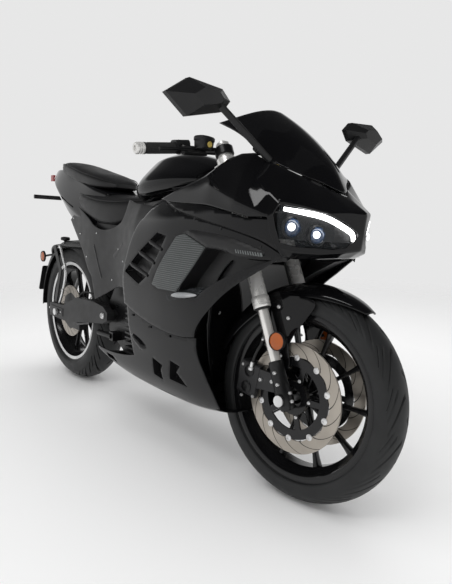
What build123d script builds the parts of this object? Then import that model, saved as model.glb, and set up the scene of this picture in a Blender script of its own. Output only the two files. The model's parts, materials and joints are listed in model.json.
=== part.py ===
"""Electric sport motorcycle, leaning on its side stand.

Design frame: millimetres, +X forward, +Y to the rider's left, +Z up, with the origin on the
ground midway between the axles, bike upright and steered straight. At the end the steering
assembly is turned to its parked angle and the whole bike is leaned onto its stand.
"""
from math import copysign, cos, hypot, radians, sin, tan
import os

from build123d import *

os.makedirs("parts", exist_ok=True)

# Driving dimensions
wheelbase = 1400.0
rake = 25.0
trail = 95.0
parked_lean = 4.0
parked_steer = 7.0
steering_lock = 22.0

front_tyre_radius = 293.0
front_tyre_width = 112.0
rear_tyre_radius = 314.0
rear_tyre_width = 142.0
rim_radius = 222.0
front_rim_width = 86.0
rear_rim_width = 112.0
tyre_wall = 10.0

axle_radius = 8.5
running_fit = 0.05
seam = 0.8
touch = 0.3
skin = 5.0

front_disc_radius = 150.0
front_disc_inner = 112.0
front_disc_side = 62.0
rear_disc_radius = 118.0
rear_disc_side = 62.0
disc_thickness = 5.0

fork_side = 98.0
fork_upper_radius = 21.5
fork_collar_radius = 25.0
fork_slider_radius = 15.0
fork_length = 755.0
fork_collar_at = 255.0
fork_slider_at = 105.0
stem_radius = 15.0
head_tube_radius = 31.0
clamp_thickness = 30.0
upper_clamp_z = 905.0
lower_clamp_z = 725.0

pivot_x = -258.0
pivot_z = 366.0
swingarm_inner = 96.0
swingarm_outer = 128.0

battery_half_width = 78.0
fin_pitch = 18.0

front_axle_x = wheelbase / 2
rear_axle_x = -wheelbase / 2
front_axle_z = front_tyre_radius
rear_axle_z = rear_tyre_radius


def steering_x(z):
    """Place of the steering axis along the bike at height z."""
    return front_axle_x + trail - z * tan(radians(rake))


# The fork's own plane: local x across the bike, local y up along the fork from the axle
steer_direction = Vector(-sin(radians(rake)), 0, cos(radians(rake)))
front_centre = Vector(front_axle_x, 0, front_axle_z)
rear_centre = Vector(rear_axle_x, 0, rear_axle_z)
front_axle_line = Axis(front_centre, (0, 1, 0))
rear_axle_line = Axis(rear_centre, (0, 1, 0))
steering_axis = Axis((steering_x(0), 0, 0), steer_direction)


def fork_plane(distance, side=0.0):
    """Plane square to the fork, at a distance up from the axle."""
    return Plane(
        origin=front_centre + steer_direction * distance + Vector(0, side, 0),
        x_dir=(0, 1, 0),
        z_dir=steer_direction,
    )


def stem_plane(z):
    """Plane square to the steering axis where that axis is at height z."""
    return Plane(origin=(steering_x(z), 0, z), x_dir=(0, 1, 0), z_dir=steer_direction)


def axle_section(centre):
    """Plane through an axle's line: local x along the axle, local y outwards."""
    return Plane(origin=centre, x_dir=(0, 1, 0), z_dir=(1, 0, 0))


def polygon(plane, points):
    """Closed outline of straight lines on a plane."""
    with BuildSketch(plane) as outline:
        with BuildLine():
            Polyline(*points, close=True)
        make_face()
    return outline.sketch


def inset(points, wall):
    """Open outline moved sideways by a wall, with mitred corners; ends at u = 0 stay there."""
    moved = []
    for i, (u, v) in enumerate(points):
        before = points[max(i - 1, 0)]
        after = points[min(i + 1, len(points) - 1)]
        normals = []
        for (u0, v0), (u1, v1) in ((before, (u, v)), ((u, v), after)):
            length = hypot(u1 - u0, v1 - v0)
            if length > 0:
                normals.append(((v1 - v0) / length, -(u1 - u0) / length))
        nu = sum(n[0] for n in normals) / len(normals)
        nv = sum(n[1] for n in normals) / len(normals)
        if u == 0:
            nu, nv = 0.0, copysign(1, nv)
        scale = wall / (nu * nu + nv * nv)
        moved.append((u + nu * scale, v + nv * scale))
    return moved


def strip(points, wall):
    """Closed outline of a sheet whose outer line runs through the points."""
    return points + inset(points, wall)[::-1]


def side_prism(points, low, high):
    """Side outline in (x, z), drawn out across the bike from y = low to y = high."""
    return extrude(polygon(Plane.XZ.offset(-low), points), amount=low - high, mode=Mode.PRIVATE)


# Wheels
def add_tyre(centre, axle_line, width, radius, rim_width):
    """Hollow tyre: arcs for its two walls and its crown, open towards the rim."""
    half, seat = width / 2, rim_width / 2
    shoulder = (half * 0.93, radius - width * 0.24)
    with BuildSketch(axle_section(centre)) as section:
        with BuildLine():
            crown = ThreePointArc((-shoulder[0], shoulder[1]), (0, radius), shoulder)
            ThreePointArc(crown @ 1, (half, (shoulder[1] + rim_radius) / 2), (seat, rim_radius + 2))
            Line((seat, rim_radius + 2), (seat - tyre_wall, rim_radius + 2))
            inner = (half - tyre_wall, (shoulder[1] + rim_radius) / 2)
            inner_shoulder = (shoulder[0] - tyre_wall, shoulder[1] - tyre_wall * 0.6)
            ThreePointArc((seat - tyre_wall, rim_radius + 2), inner, inner_shoulder)
            inner_crown = (0, radius - tyre_wall)
            ThreePointArc(inner_shoulder, inner_crown, (-inner_shoulder[0], inner_shoulder[1]))
            ThreePointArc(
                (-inner_shoulder[0], inner_shoulder[1]),
                (-inner[0], inner[1]),
                (tyre_wall - seat, rim_radius + 2),
            )
            Line((tyre_wall - seat, rim_radius + 2), (-seat, rim_radius + 2))
            ThreePointArc((-seat, rim_radius + 2), (-half, inner[1]), (-shoulder[0], shoulder[1]))
        make_face()
    revolve(section.sketch, axis=axle_line)


rim_wall = 5.0
rim_well = 24.0
flange = 10.0
spoke_count = 10
spoke_width = 13.0
spoke_depth = 22.0
hub_radius = 34.0
hub_half_width = 50.0


def rim_profile(rim_width):
    """Section of the rim's barrel with its two flanges and its well."""
    seat = rim_width / 2
    outer = [
        (-seat - rim_wall, rim_radius + flange),
        (-seat, rim_radius + flange),
        (-seat, rim_radius),
        (-seat + 14, rim_radius),
        (-seat + 24, rim_radius - rim_well + rim_wall),
        (seat - 24, rim_radius - rim_well + rim_wall),
        (seat - 14, rim_radius),
        (seat, rim_radius),
        (seat, rim_radius + flange),
        (seat + rim_wall, rim_radius + flange),
    ]
    inner = [
        (seat + rim_wall, rim_radius - rim_wall),
        (seat - 12, rim_radius - rim_wall),
        (seat - 22, rim_radius - rim_well),
        (-seat + 22, rim_radius - rim_well),
        (-seat + 12, rim_radius - rim_wall),
        (-seat - rim_wall, rim_radius - rim_wall),
    ]
    return outer + inner


def add_rim(centre, axle_line, rim_width):
    """Cast rim: barrel, hub and straight spokes in one piece, bored for the axle."""
    revolve(polygon(axle_section(centre), rim_profile(rim_width)), axis=axle_line)
    across = Plane(origin=centre, x_dir=(1, 0, 0), z_dir=(0, -1, 0))
    with BuildSketch(across.offset(-hub_half_width)) as hub:
        Circle(hub_radius)
    extrude(hub.sketch, amount=2 * hub_half_width)
    with BuildSketch(across.offset(-spoke_depth / 2)) as spokes:
        with PolarLocations(0, spoke_count):
            with Locations(((hub_radius + rim_radius - rim_well) / 2, 0)):
                Rectangle(rim_radius - rim_well - hub_radius + 12, spoke_width)
    extrude(spokes.sketch, amount=spoke_depth)
    with BuildSketch(across.offset(-hub_half_width)) as bore:
        Circle(axle_radius + running_fit)
    extrude(bore.sketch, amount=2 * hub_half_width, mode=Mode.SUBTRACT)


with BuildPart() as front_rim:
    add_rim(front_centre, front_axle_line, front_rim_width)
front_rim.part.label = "front_rim"

with BuildPart() as rear_rim:
    add_rim(rear_centre, rear_axle_line, rear_rim_width)
rear_rim.part.label = "rear_rim"

with BuildPart() as front_tyre:
    add_tyre(front_centre, front_axle_line, front_tyre_width, front_tyre_radius, front_rim_width)
    add(front_rim.part, mode=Mode.SUBTRACT)
front_tyre.part.label = "front_tyre"

with BuildPart() as rear_tyre:
    add_tyre(rear_centre, rear_axle_line, rear_tyre_width, rear_tyre_radius, rear_rim_width)
    add(rear_rim.part, mode=Mode.SUBTRACT)
rear_tyre.part.label = "rear_tyre"


def add_ring(centre, y_low, y_high, outer, inner):
    """Flat ring square to an axle, between two places across the bike."""
    across = Plane(origin=centre, x_dir=(1, 0, 0), z_dir=(0, -1, 0))
    with BuildSketch(across.offset(-y_high)) as ring:
        Circle(outer)
        Circle(inner, mode=Mode.SUBTRACT)
    extrude(ring.sketch, amount=y_high - y_low)


carrier_outer = front_disc_inner
with BuildPart() as front_discs:
    for side in (-1, 1):
        y_mid = side * front_disc_side
        add_ring(
            front_centre, y_mid - disc_thickness / 2, y_mid + disc_thickness / 2,
            front_disc_radius, carrier_outer,
        )
front_discs.part.label = "front_discs"

with BuildPart() as disc_carriers:
    for side in (-1, 1):
        low = hub_half_width
        high = front_disc_side + disc_thickness / 2
        ends = sorted((side * low, side * high))
        add_ring(front_centre, ends[0], ends[1], 46.0, hub_radius - 6)
        ring = sorted((side * (high - disc_thickness), side * high))
        add_ring(front_centre, ring[0], ring[1], carrier_outer, 86.0)
        across = Plane(origin=front_centre, x_dir=(1, 0, 0), z_dir=(0, -1, 0))
        with BuildSketch(across.offset(-ring[1])) as arms:
            with PolarLocations(0, 5):
                with Locations((66, 0)):
                    Rectangle(52, 16)
        extrude(arms.sketch, amount=disc_thickness)
disc_carriers.part.label = "disc_carriers"

with BuildPart() as rear_disc:
    add_ring(
        rear_centre, -rear_disc_side - disc_thickness / 2, -rear_disc_side + disc_thickness / 2,
        rear_disc_radius, 44.0,
    )
    add_ring(rear_centre, -rear_disc_side + disc_thickness / 2, -hub_half_width, 56.0, hub_radius - 6)
rear_disc.part.label = "rear_disc"

chain_side = 84.0
chain_width = 14.0
rear_sprocket_radius = 92.0
drive_sprocket_radius = 32.0
sprocket_thickness = 6.0
with BuildPart() as rear_sprocket:
    add_ring(
        rear_centre, chain_side - sprocket_thickness / 2, chain_side + sprocket_thickness / 2,
        rear_sprocket_radius, 44.0,
    )
    add_ring(rear_centre, hub_half_width, chain_side - sprocket_thickness / 2, 56.0, hub_radius - 6)
rear_sprocket.part.label = "rear_sprocket"


def add_shaft(centre, y_low, y_high, radius, mode=Mode.ADD):
    """Round bar across the bike."""
    across = Plane(origin=centre, x_dir=(1, 0, 0), z_dir=(0, -1, 0))
    with BuildSketch(across.offset(-y_high)) as bar:
        Circle(radius)
    extrude(bar.sketch, amount=y_high - y_low, mode=mode)


def add_bar(start, end, radius):
    """Round bar from one point to another."""
    start, end = Vector(*start), Vector(*end)
    with BuildSketch(Plane(origin=start, z_dir=end - start)) as section:
        Circle(radius)
    extrude(section.sketch, amount=(end - start).length)


axle_nut_radius = 15.0
axle_nut_length = 10.0
front_axle_half = fork_side + 22.0
with BuildPart() as front_axle:
    add_shaft(front_centre, -front_axle_half, front_axle_half, axle_radius)
    for side in (-1, 1):
        ends = sorted((side * front_axle_half, side * (front_axle_half + axle_nut_length)))
        add_shaft(front_centre, ends[0], ends[1], axle_nut_radius)
front_axle.part.label = "front_axle"

rear_axle_half = swingarm_outer + 6.0
with BuildPart() as rear_axle:
    add_shaft(rear_centre, -rear_axle_half, rear_axle_half, axle_radius)
    for side in (-1, 1):
        ends = sorted((side * rear_axle_half, side * (rear_axle_half + axle_nut_length)))
        add_shaft(rear_centre, ends[0], ends[1], axle_nut_radius)
rear_axle.part.label = "rear_axle"

# Fork. Each leg: upper tube with collar, bright slider, cast foot
with BuildPart() as fork_uppers:
    for side in (-1, 1):
        with BuildSketch(fork_plane(fork_collar_at, side * fork_side)) as collar:
            Circle(fork_collar_radius)
            Circle(fork_slider_radius, mode=Mode.SUBTRACT)
        extrude(collar.sketch, amount=30)
        with BuildSketch(fork_plane(fork_collar_at + 30, side * fork_side)) as tube:
            Circle(fork_upper_radius)
        extrude(tube.sketch, amount=fork_length - fork_collar_at - 30)
fork_uppers.part.label = "fork_uppers"

with BuildPart() as fork_sliders:
    for side in (-1, 1):
        with BuildSketch(fork_plane(fork_slider_at, side * fork_side)) as slider:
            Circle(fork_slider_radius)
        extrude(slider.sketch, amount=fork_collar_at + 30 - fork_slider_at)
fork_sliders.part.label = "fork_sliders"

foot_half_width = 24.0
foot_half_depth = 22.0
with BuildPart() as fork_feet:
    for side in (-1, 1):
        with BuildSketch(fork_plane(-30, side * fork_side)) as foot:
            RectangleRounded(2 * foot_half_width, 2 * foot_half_depth, 12)
        extrude(foot.sketch, amount=fork_slider_at + 30)
    add(front_axle.part, mode=Mode.SUBTRACT)
fork_feet.part.label = "fork_feet"

# Triple clamps and stem. Local y of their planes points backwards, so the legs are at -fork_offset
fork_offset = (front_axle_x - steering_x(front_axle_z)) * cos(radians(rake))
clamp_eye = 28.0
with BuildPart() as triple_clamps:
    for z in (lower_clamp_z, upper_clamp_z):
        with BuildSketch(stem_plane(z)) as plate:
            with Locations((0, -fork_offset / 2)):
                Rectangle(2 * fork_side, fork_offset + 24)
            Circle(head_tube_radius)
            with Locations((-fork_side, -fork_offset), (fork_side, -fork_offset)):
                Circle(clamp_eye)
        extrude(plate.sketch, amount=clamp_thickness / 2, both=True)
    stem_bottom, stem_top = stem_plane(lower_clamp_z).origin, stem_plane(upper_clamp_z).origin
    add_bar(stem_bottom, stem_top, stem_radius)
    add(fork_uppers.part, mode=Mode.SUBTRACT)
triple_clamps.part.label = "triple_clamps"

# Controls. Columns: place along each side of the bar, across the bike as a half width
clip_on_at = 732.0
clip_on_height = 26.0
bar_radius = 11.0
grip_radius = 16.5
bar_root = fork_plane(clip_on_at).origin
grip_inner = (285.0, 205.0, 958.0)
grip_outer = (262.0, 335.0, 934.0)
bar_end_length = 34.0
bar_end_radius = 17.0


def mirrored(point, side):
    """The same point on one side of the bike: side is -1 for right, 1 for left."""
    return Vector(point[0], side * point[1], point[2])


def along(start, end, share):
    """Point on the line from start to end."""
    return Vector(*start) + (Vector(*end) - Vector(*start)) * share


with BuildPart() as handlebars:
    for side in (-1, 1):
        with BuildSketch(fork_plane(clip_on_at, side * fork_side)) as clamp:
            Circle(clamp_eye)
        extrude(clamp.sketch, amount=clip_on_height / 2, both=True)
        root = (bar_root.X, side * fork_side, bar_root.Z)
        add_bar(root, mirrored(grip_inner, side), bar_radius)
        with Locations(mirrored(grip_inner, side)):
            Sphere(bar_radius)
        add_bar(mirrored(grip_inner, side), mirrored(grip_outer, side), bar_radius)
    add(fork_uppers.part, mode=Mode.SUBTRACT)
handlebars.part.label = "handlebars"

with BuildPart() as grips:
    for side in (-1, 1):
        add_bar(mirrored(grip_inner, side), mirrored(grip_outer, side), grip_radius)
    add(handlebars.part, mode=Mode.SUBTRACT)
grips.part.label = "grips"

bar_end_thread_radius = 4.0
bar_end_thread_depth = 18.0
with BuildPart() as bar_ends:
    for side in (-1, 1):
        outer = mirrored(grip_outer, side)
        direction = (outer - mirrored(grip_inner, side)).normalized()
        tip = outer + direction * bar_end_length
        add_bar(outer, tip, bar_end_radius)
        with BuildSketch(Plane(origin=tip, z_dir=-direction)) as thread:
            Circle(bar_end_thread_radius)
        extrude(thread.sketch, amount=bar_end_thread_depth, mode=Mode.SUBTRACT)
bar_ends.part.label = "bar_ends"

with BuildPart() as switchgear:
    for side in (-1, 1):
        inner = mirrored(grip_inner, side)
        direction = (mirrored(grip_outer, side) - inner).normalized()
        with BuildSketch(Plane(origin=inner - direction * 48, z_dir=direction)) as block:
            RectangleRounded(38, 38, 12)
        extrude(block.sketch, amount=46)
    add(handlebars.part, mode=Mode.SUBTRACT)
switchgear.part.label = "switchgear"

with BuildPart() as master_cylinders:
    for side in (-1, 1):
        with BuildSketch(Plane.XY.offset(960)) as cup:
            with Locations((365, side * 158)):
                RectangleRounded(44, 56, 10)
        extrude(cup.sketch, amount=36)
        add_bar((340, side * 125, 955), (330, side * 205, 945), 13)
    add(handlebars.part, mode=Mode.SUBTRACT)
    add(switchgear.part, mode=Mode.SUBTRACT)
master_cylinders.part.label = "master_cylinders"

lever_points = ((325, 195, 935), (345, 300, 910), (330, 352, 884))
with BuildPart() as levers:
    for side in (-1, 1):
        for start, end in zip(lever_points, lever_points[1:]):
            add_bar(mirrored(start, side), mirrored(end, side), 6)
        with Locations(mirrored(lever_points[1], side)):
            Sphere(6)
    add(master_cylinders.part, mode=Mode.SUBTRACT)
    add(switchgear.part, mode=Mode.SUBTRACT)
levers.part.label = "levers"

# Front mudguard: a hooped section swept round the tyre
fender_radius = front_tyre_radius + 22
fender_half = 70.0
fender_front_angle = 53.0
fender_rear_angle = 164.0
fender_outline = [(fender_half + 2, 268), (fender_half - 4, 296), (40, 311), (0, fender_radius + 1)]
with BuildPart() as front_fender:
    half = fender_outline + [(-u, v) for u, v in fender_outline[-2::-1]]
    start_plane = Plane(
        origin=front_centre,
        x_dir=(0, 1, 0),
        z_dir=(sin(radians(fender_rear_angle)), 0, -cos(radians(fender_rear_angle))),
    )
    section = polygon(start_plane, strip(half, -3.0))
    revolve(section, axis=front_axle_line, revolution_arc=fender_rear_angle - fender_front_angle)
front_fender.part.label = "front_fender"

caliper_slot = 15.0
caliper_angle = 172.0
with BuildPart() as front_calipers:
    for side in (-1, 1):
        radial = Vector(cos(radians(caliper_angle)), 0, sin(radians(caliper_angle)))
        middle = front_centre + radial * 148 + Vector(0, side * front_disc_side, 0)
        block_plane = Plane(origin=middle, x_dir=(0, 1, 0), z_dir=radial)
        with BuildSketch(block_plane) as block:
            RectangleRounded(46, 96, 8)
        extrude(block.sketch, amount=34, both=True)
        with BuildSketch(block_plane.offset(-40)) as slot:
            Rectangle(caliper_slot, 100)
        extrude(slot.sketch, amount=50, mode=Mode.SUBTRACT)
        ear = [(570, 292), (690, 300), (690, 345), (585, 350)]
        ends = sorted((side * 76, side * 84))
        add(side_prism(ear, ends[0], ends[1]))
    add(fork_feet.part, mode=Mode.SUBTRACT)
    add(fork_sliders.part, mode=Mode.SUBTRACT)
front_calipers.part.label = "front_calipers"

reflector_radius = 25.0
with BuildPart() as fork_reflectors:
    for side in (-1, 1):
        face = Plane(
            origin=(668, side * (fork_side + fork_slider_radius), 446), x_dir=(1, 0, 0), z_dir=(0, side, 0)
        )
        with BuildSketch(face) as disc:
            Circle(reflector_radius)
        extrude(disc.sketch, amount=9)
        add_bar((628, side * fork_side, 446), (668, side * (fork_side + fork_slider_radius + 4), 446), 4)
    add(fork_sliders.part, mode=Mode.SUBTRACT)
fork_reflectors.part.label = "fork_reflectors"

# Side stand. Its hinge is square to both the deployed and the stowed leg
stand_pivot = (-120.0, 104.0, 232.0)
stand_foot = (-62.0, 232.0)
stowed_direction = Vector(-250, 20, 20)
stand_lug_length = 34.0
lean = radians(parked_lean)
ground_normal = Vector(0, -sin(lean), cos(lean))
leaned_rear = rear_tyre.part.rotate(Axis.X, -parked_lean).bounding_box().min.Z
stand_pin_radius = 5.0
stand_eye_radius = 15.0
stand_eye_thickness = 18.0
stand_leg_radius = 9.0
foot_pad = (26.0, 8.0)
pivot_point = Vector(*stand_pivot)
foot_point = Vector(
    stand_foot[0], stand_foot[1], (leaned_rear + stand_foot[1] * sin(lean)) / cos(lean)
)
leg_direction = foot_point - pivot_point
stand_axis = leg_direction.cross(stowed_direction).normalized()
stand_stowed_angle = leg_direction.get_angle(stowed_direction)
eye_plane = Plane(origin=pivot_point, z_dir=stand_axis)

# Frame: head tube, spars, cradle plates, seat rails and the lugs that carry everything else
head_bottom = stem_plane(lower_clamp_z).offset(clamp_thickness / 2 + touch)
head_length = (stem_top - stem_bottom).length - clamp_thickness - 2 * touch
spar_radius = 20.0
rail_radius = 12.0
plate_inner = 66.0
plate_outer = 76.0
spar_front = (steering_x(800) - 10, 26.0, 790.0)
spar_bend = (130.0, 112.0, 690.0)
spar_foot = (-180.0, 83.0, 520.0)
pivot_plate = [(-300, 300), (-150, 222), (-110, 222), (-130, 540), (-210, 560), (-300, 420)]
rail_front = (-150.0, 70.0, 640.0)
rail_rear = (-860.0, 45.0, 880.0)
stay_rear = (-560.0, 60.0, 740.0)
stay_z = 800.0
stay_reach = 720.0
stay_cross_x = 620.0
stay_cross_half = 197.0
stay_radius = 8.0
display_x, display_z = 528.0, 982.0
tank_rest = (100.0, 60.0, 811.0)
with BuildPart() as main_frame:
    with BuildSketch(head_bottom) as head:
        Circle(head_tube_radius)
    extrude(head.sketch, amount=head_length)
    for side in (-1, 1):
        add_bar(mirrored(spar_front, side), mirrored(spar_bend, side), spar_radius)
        with Locations(mirrored(spar_bend, side)):
            Sphere(spar_radius)
        add_bar(mirrored(spar_bend, side), mirrored(spar_foot, side), spar_radius)
        ends = sorted((side * plate_inner, side * plate_outer))
        add(side_prism(pivot_plate, ends[0], ends[1]))
        add_bar(mirrored(spar_foot, side), mirrored(rail_front, side), rail_radius)
        add_bar(mirrored(rail_front, side), mirrored(rail_rear, side), rail_radius)
        with Locations(mirrored(rail_front, side)):
            Sphere(rail_radius)
        add_bar((-230, side * 83, 520), mirrored(stay_rear, side), rail_radius)
    for x, z, half in ((-180, 520, 90), (-130, 235, 88), (-560, 780, 60), (-860, 880, 50), (-150, 640, 70)):
        add_bar((x, -half, z), (x, half, z), rail_radius)
    with BuildSketch(eye_plane.offset(-stand_eye_thickness / 2 - touch - stand_lug_length)) as lug:
        Circle(stand_eye_radius)
    extrude(lug.sketch, amount=stand_lug_length)
    with BuildSketch(eye_plane.offset(-stand_eye_thickness / 2 - touch - 4)) as pin:
        Circle(stand_pin_radius)
    extrude(pin.sketch, amount=stand_eye_thickness + 2 * touch + 6)
    with BuildSketch(eye_plane.offset(stand_eye_thickness / 2 + touch)) as pin_head:
        Circle(stand_eye_radius - 5)
    extrude(pin_head.sketch, amount=5)
    add_bar((steering_x(stay_z), 0, stay_z), (stay_reach, 0, stay_z), rail_radius)
    add_bar((stay_cross_x, -stay_cross_half, stay_z), (stay_cross_x, stay_cross_half, stay_z), rail_radius)
    add_bar((stay_cross_x, 0, stay_z), (display_x, 0, display_z), stay_radius)
    for side in (-1, 1):
        add_bar((130, side * 105, 700), (tank_rest[0], side * tank_rest[1], tank_rest[2]), rail_radius)
    with BuildSketch(head_bottom) as bore:
        Circle(stem_radius + running_fit)
    extrude(bore.sketch, amount=head_length, mode=Mode.SUBTRACT)
main_frame.part.label = "main_frame"

battery_x = (-105.0, 330.0)
battery_z = (245.0, 596.0)
fin_x = (-100.0, 120.0)
fin_z = (255.0, 560.0)
fin_reach = 118.0
fin_thickness = 6.0
with BuildPart() as battery_case:
    with BuildSketch(Plane.XY.offset(battery_z[0])) as base:
        with Locations(((battery_x[0] + battery_x[1]) / 2, 0)):
            RectangleRounded(battery_x[1] - battery_x[0], 2 * battery_half_width, 12)
    extrude(base.sketch, amount=battery_z[1] - battery_z[0])
    for k in range(int((fin_z[1] - fin_z[0]) / fin_pitch) + 1):
        with BuildSketch(Plane.XY.offset(fin_z[0] + k * fin_pitch)) as fin:
            with Locations(((fin_x[0] + fin_x[1]) / 2, 0)):
                Rectangle(fin_x[1] - fin_x[0], 2 * fin_reach)
        extrude(fin.sketch, amount=fin_thickness)
    add(main_frame.part, mode=Mode.SUBTRACT)
battery_case.part.label = "battery_case"

motor_centre = Vector(-200, 0, pivot_z)
motor_radius = 82.0
motor_y = (-58.0, 45.0)
with BuildPart() as motor_block:
    add_shaft(motor_centre, motor_y[0], motor_y[1], motor_radius)
    add_shaft(motor_centre, motor_y[1], chain_side + sprocket_thickness / 2, 12)
    add_shaft(
        motor_centre, chain_side - sprocket_thickness / 2, chain_side + sprocket_thickness / 2,
        drive_sprocket_radius,
    )
    add_shaft(motor_centre, -plate_inner, motor_y[0], 40)
    add(battery_case.part, mode=Mode.SUBTRACT)
    add(main_frame.part, mode=Mode.SUBTRACT)
motor_block.part.label = "motor_block"

chain_height = 10.0
with BuildPart() as chain:
    across = Plane(origin=(0, chain_side + chain_width / 2, 0), x_dir=(1, 0, 0), z_dir=(0, -1, 0))
    for reach, mode in ((chain_height, Mode.ADD), (touch, Mode.SUBTRACT)):
        with BuildSketch(across) as loop:
            with Locations((motor_centre.X, motor_centre.Z)):
                Circle(drive_sprocket_radius + reach)
            with Locations((rear_axle_x, rear_axle_z)):
                Circle(rear_sprocket_radius + reach)
            make_hull()
        extrude(loop.sketch, amount=chain_width, mode=mode)
chain.part.label = "chain"

# Swingarm: two box arms outside the pivot plates, joined by a brace ahead of the tyre
pivot_centre = Vector(pivot_x, 0, pivot_z)
arm_outline = [
    (-790, 345), (-790, 286), (-600, 284), (-380, 318), (-262, 334), (-226, 352),
    (-226, 382), (-262, 402), (-340, 410), (-505, 406), (-640, 352),
]
thread_radius = 4.0
thread_depth = 20.0
spool_centre = Vector(-655, 0, 320)
brace_x = (-366.0, -326.0)
brace_z = (350.0, 382.0)
with BuildPart() as swingarm:
    with Locations(((brace_x[0] + brace_x[1]) / 2, 0, (brace_z[0] + brace_z[1]) / 2)):
        Box(brace_x[1] - brace_x[0], 2 * swingarm_inner, brace_z[1] - brace_z[0])
    for side in (-1, 1):
        ends = sorted((side * swingarm_inner, side * swingarm_outer))
        add(side_prism(arm_outline, ends[0], ends[1]))
        spacer = sorted((side * plate_outer, side * swingarm_inner))
        add_shaft(pivot_centre, spacer[0], spacer[1], 22)
        hole = sorted((side * swingarm_outer, side * (swingarm_outer - thread_depth)))
        add_shaft(spool_centre, hole[0], hole[1], thread_radius, Mode.SUBTRACT)
    add_shaft(rear_centre, -swingarm_outer, swingarm_outer, axle_radius, Mode.SUBTRACT)
swingarm.part.label = "swingarm"

shock_foot = (-346.0, 0.0, 382.0)
shock_head = (-330.0, 0.0, 600.0)
with BuildPart() as rear_shock:
    add_bar(shock_foot, along(shock_foot, shock_head, 0.5), 14)
    add_bar(along(shock_foot, shock_head, 0.3), along(shock_foot, shock_head, 0.95), 26)
    add_bar(along(shock_foot, shock_head, 0.9), shock_head, 14)
    add(swingarm.part, mode=Mode.SUBTRACT)
rear_shock.part.label = "rear_shock"

with BuildPart() as side_stand:
    with BuildSketch(eye_plane.offset(-stand_eye_thickness / 2)) as eye:
        Circle(stand_eye_radius)
    extrude(eye.sketch, amount=stand_eye_thickness)
    add_bar(pivot_point, foot_point + ground_normal * foot_pad[1] / 2, stand_leg_radius)
    with BuildSketch(Plane(origin=foot_point, z_dir=ground_normal)) as pad:
        Circle(foot_pad[0])
    extrude(pad.sketch, amount=foot_pad[1])
    with BuildSketch(eye_plane.offset(-stand_eye_thickness)) as bore:
        Circle(stand_pin_radius + running_fit)
    extrude(bore.sketch, amount=4 * stand_eye_thickness, mode=Mode.SUBTRACT)
side_stand.part.label = "side_stand"

# Rear mudguard round the tyre, with its bracket, blank plate, lamp and reflectors
hugger_radius = rear_tyre_radius + 16
hugger_half = 82.0
hugger_rear_angle = 182.0
hugger_front_angle = 48.0
hugger_outline = [(hugger_half, 292), (hugger_half - 12, hugger_radius - 6), (0, hugger_radius)]
with BuildPart() as rear_hugger:
    half = hugger_outline + [(-u, v) for u, v in hugger_outline[-2::-1]]
    start_plane = Plane(
        origin=rear_centre,
        x_dir=(0, 1, 0),
        z_dir=(sin(radians(hugger_rear_angle)), 0, -cos(radians(hugger_rear_angle))),
    )
    section = polygon(start_plane, strip(half, -3.0))
    revolve(section, axis=rear_axle_line, revolution_arc=hugger_rear_angle - hugger_front_angle)
    for side in (-1, 1):
        stay = [(-806, 345), (-780, 345), (-730, 500), (-800, 612), (-826, 600), (-760, 500)]
        ends = sorted((side * (hugger_half + 14), side * (hugger_half + 18)))
        add(side_prism(stay, ends[0], ends[1]))
        with Locations((-800, side * (hugger_half + 6), 590)):
            Box(24, 26, 16)
    add(swingarm.part, mode=Mode.SUBTRACT)
rear_hugger.part.label = "rear_hugger"

plate_angle = 160.0
plate_radial = Vector(cos(radians(plate_angle)), 0, sin(radians(plate_angle)))
plate_plane = Plane(
    origin=rear_centre + plate_radial * (hugger_radius + 2), x_dir=(0, 1, 0), z_dir=plate_radial
)
plate_size = (150.0, 120.0)
plate_thickness = 2.0
plate_gap = 14.0
with BuildPart() as plate_bracket:
    with BuildSketch(plate_plane.offset(plate_gap)) as backing:
        RectangleRounded(plate_size[0] + 12, plate_size[1] + 12, 8)
    extrude(backing.sketch, amount=4)
    with BuildSketch(plate_plane.offset(-4)) as post:
        Rectangle(50, 30)
    extrude(post.sketch, amount=plate_gap + 4)
    add(rear_hugger.part, mode=Mode.SUBTRACT)
plate_bracket.part.label = "plate_bracket"

with BuildPart() as number_plate:
    with BuildSketch(plate_plane.offset(plate_gap + 4)) as plate:
        RectangleRounded(*plate_size, 6)
    extrude(plate.sketch, amount=plate_thickness)
number_plate.part.label = "number_plate"

# Rear brake caliper with its torque rod
with BuildPart() as rear_caliper:
    with Locations((-600, -rear_disc_side, 268)):
        Box(62, 40, 46)
    with Locations((-620, -rear_disc_side, 268)):
        Box(90, caliper_slot, 60, mode=Mode.SUBTRACT)
    add_bar((-572, -86, 276), (-420, -102, 309), 7)
    add(swingarm.part, mode=Mode.SUBTRACT)
rear_caliper.part.label = "rear_caliper"

# Seats and tail. Columns: x, half width, bottom z, top z
rider_rows = (
    (-58, 62, 790, 832),
    (-120, 95, 752, 842),
    (-200, 130, 716, 842),
    (-330, 142, 722, 850),
    (-450, 136, 762, 862),
    (-545, 112, 808, 864),
)
pillion_rows = (
    (-330, 50, 870, 896),
    (-375, 86, 868, 914),
    (-500, 104, 872, 946),
    (-650, 96, 906, 980),
    (-790, 76, 944, 1002),
    (-850, 46, 962, 986),
)


def cushion(x, half, low, high):
    """Section of a crowned seat pad."""
    edge = 0.28 * (high - low)
    outline = [
        (half * 0.82, low), (half, low + edge), (half, high - edge * 1.4), (half * 0.66, high - 4), (0, high),
    ]
    return polygon(Plane.YZ.offset(x), outline + [(-y, z) for y, z in outline[-2::-1]])


with BuildPart() as rider_seat:
    loft([cushion(*row) for row in rider_rows], ruled=True)
rider_seat.part.label = "rider_seat"

with BuildPart() as pillion_seat:
    loft([cushion(*row) for row in pillion_rows], ruled=True)
    add(rider_seat.part, mode=Mode.SUBTRACT)
pillion_seat.part.label = "pillion_seat"

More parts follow.
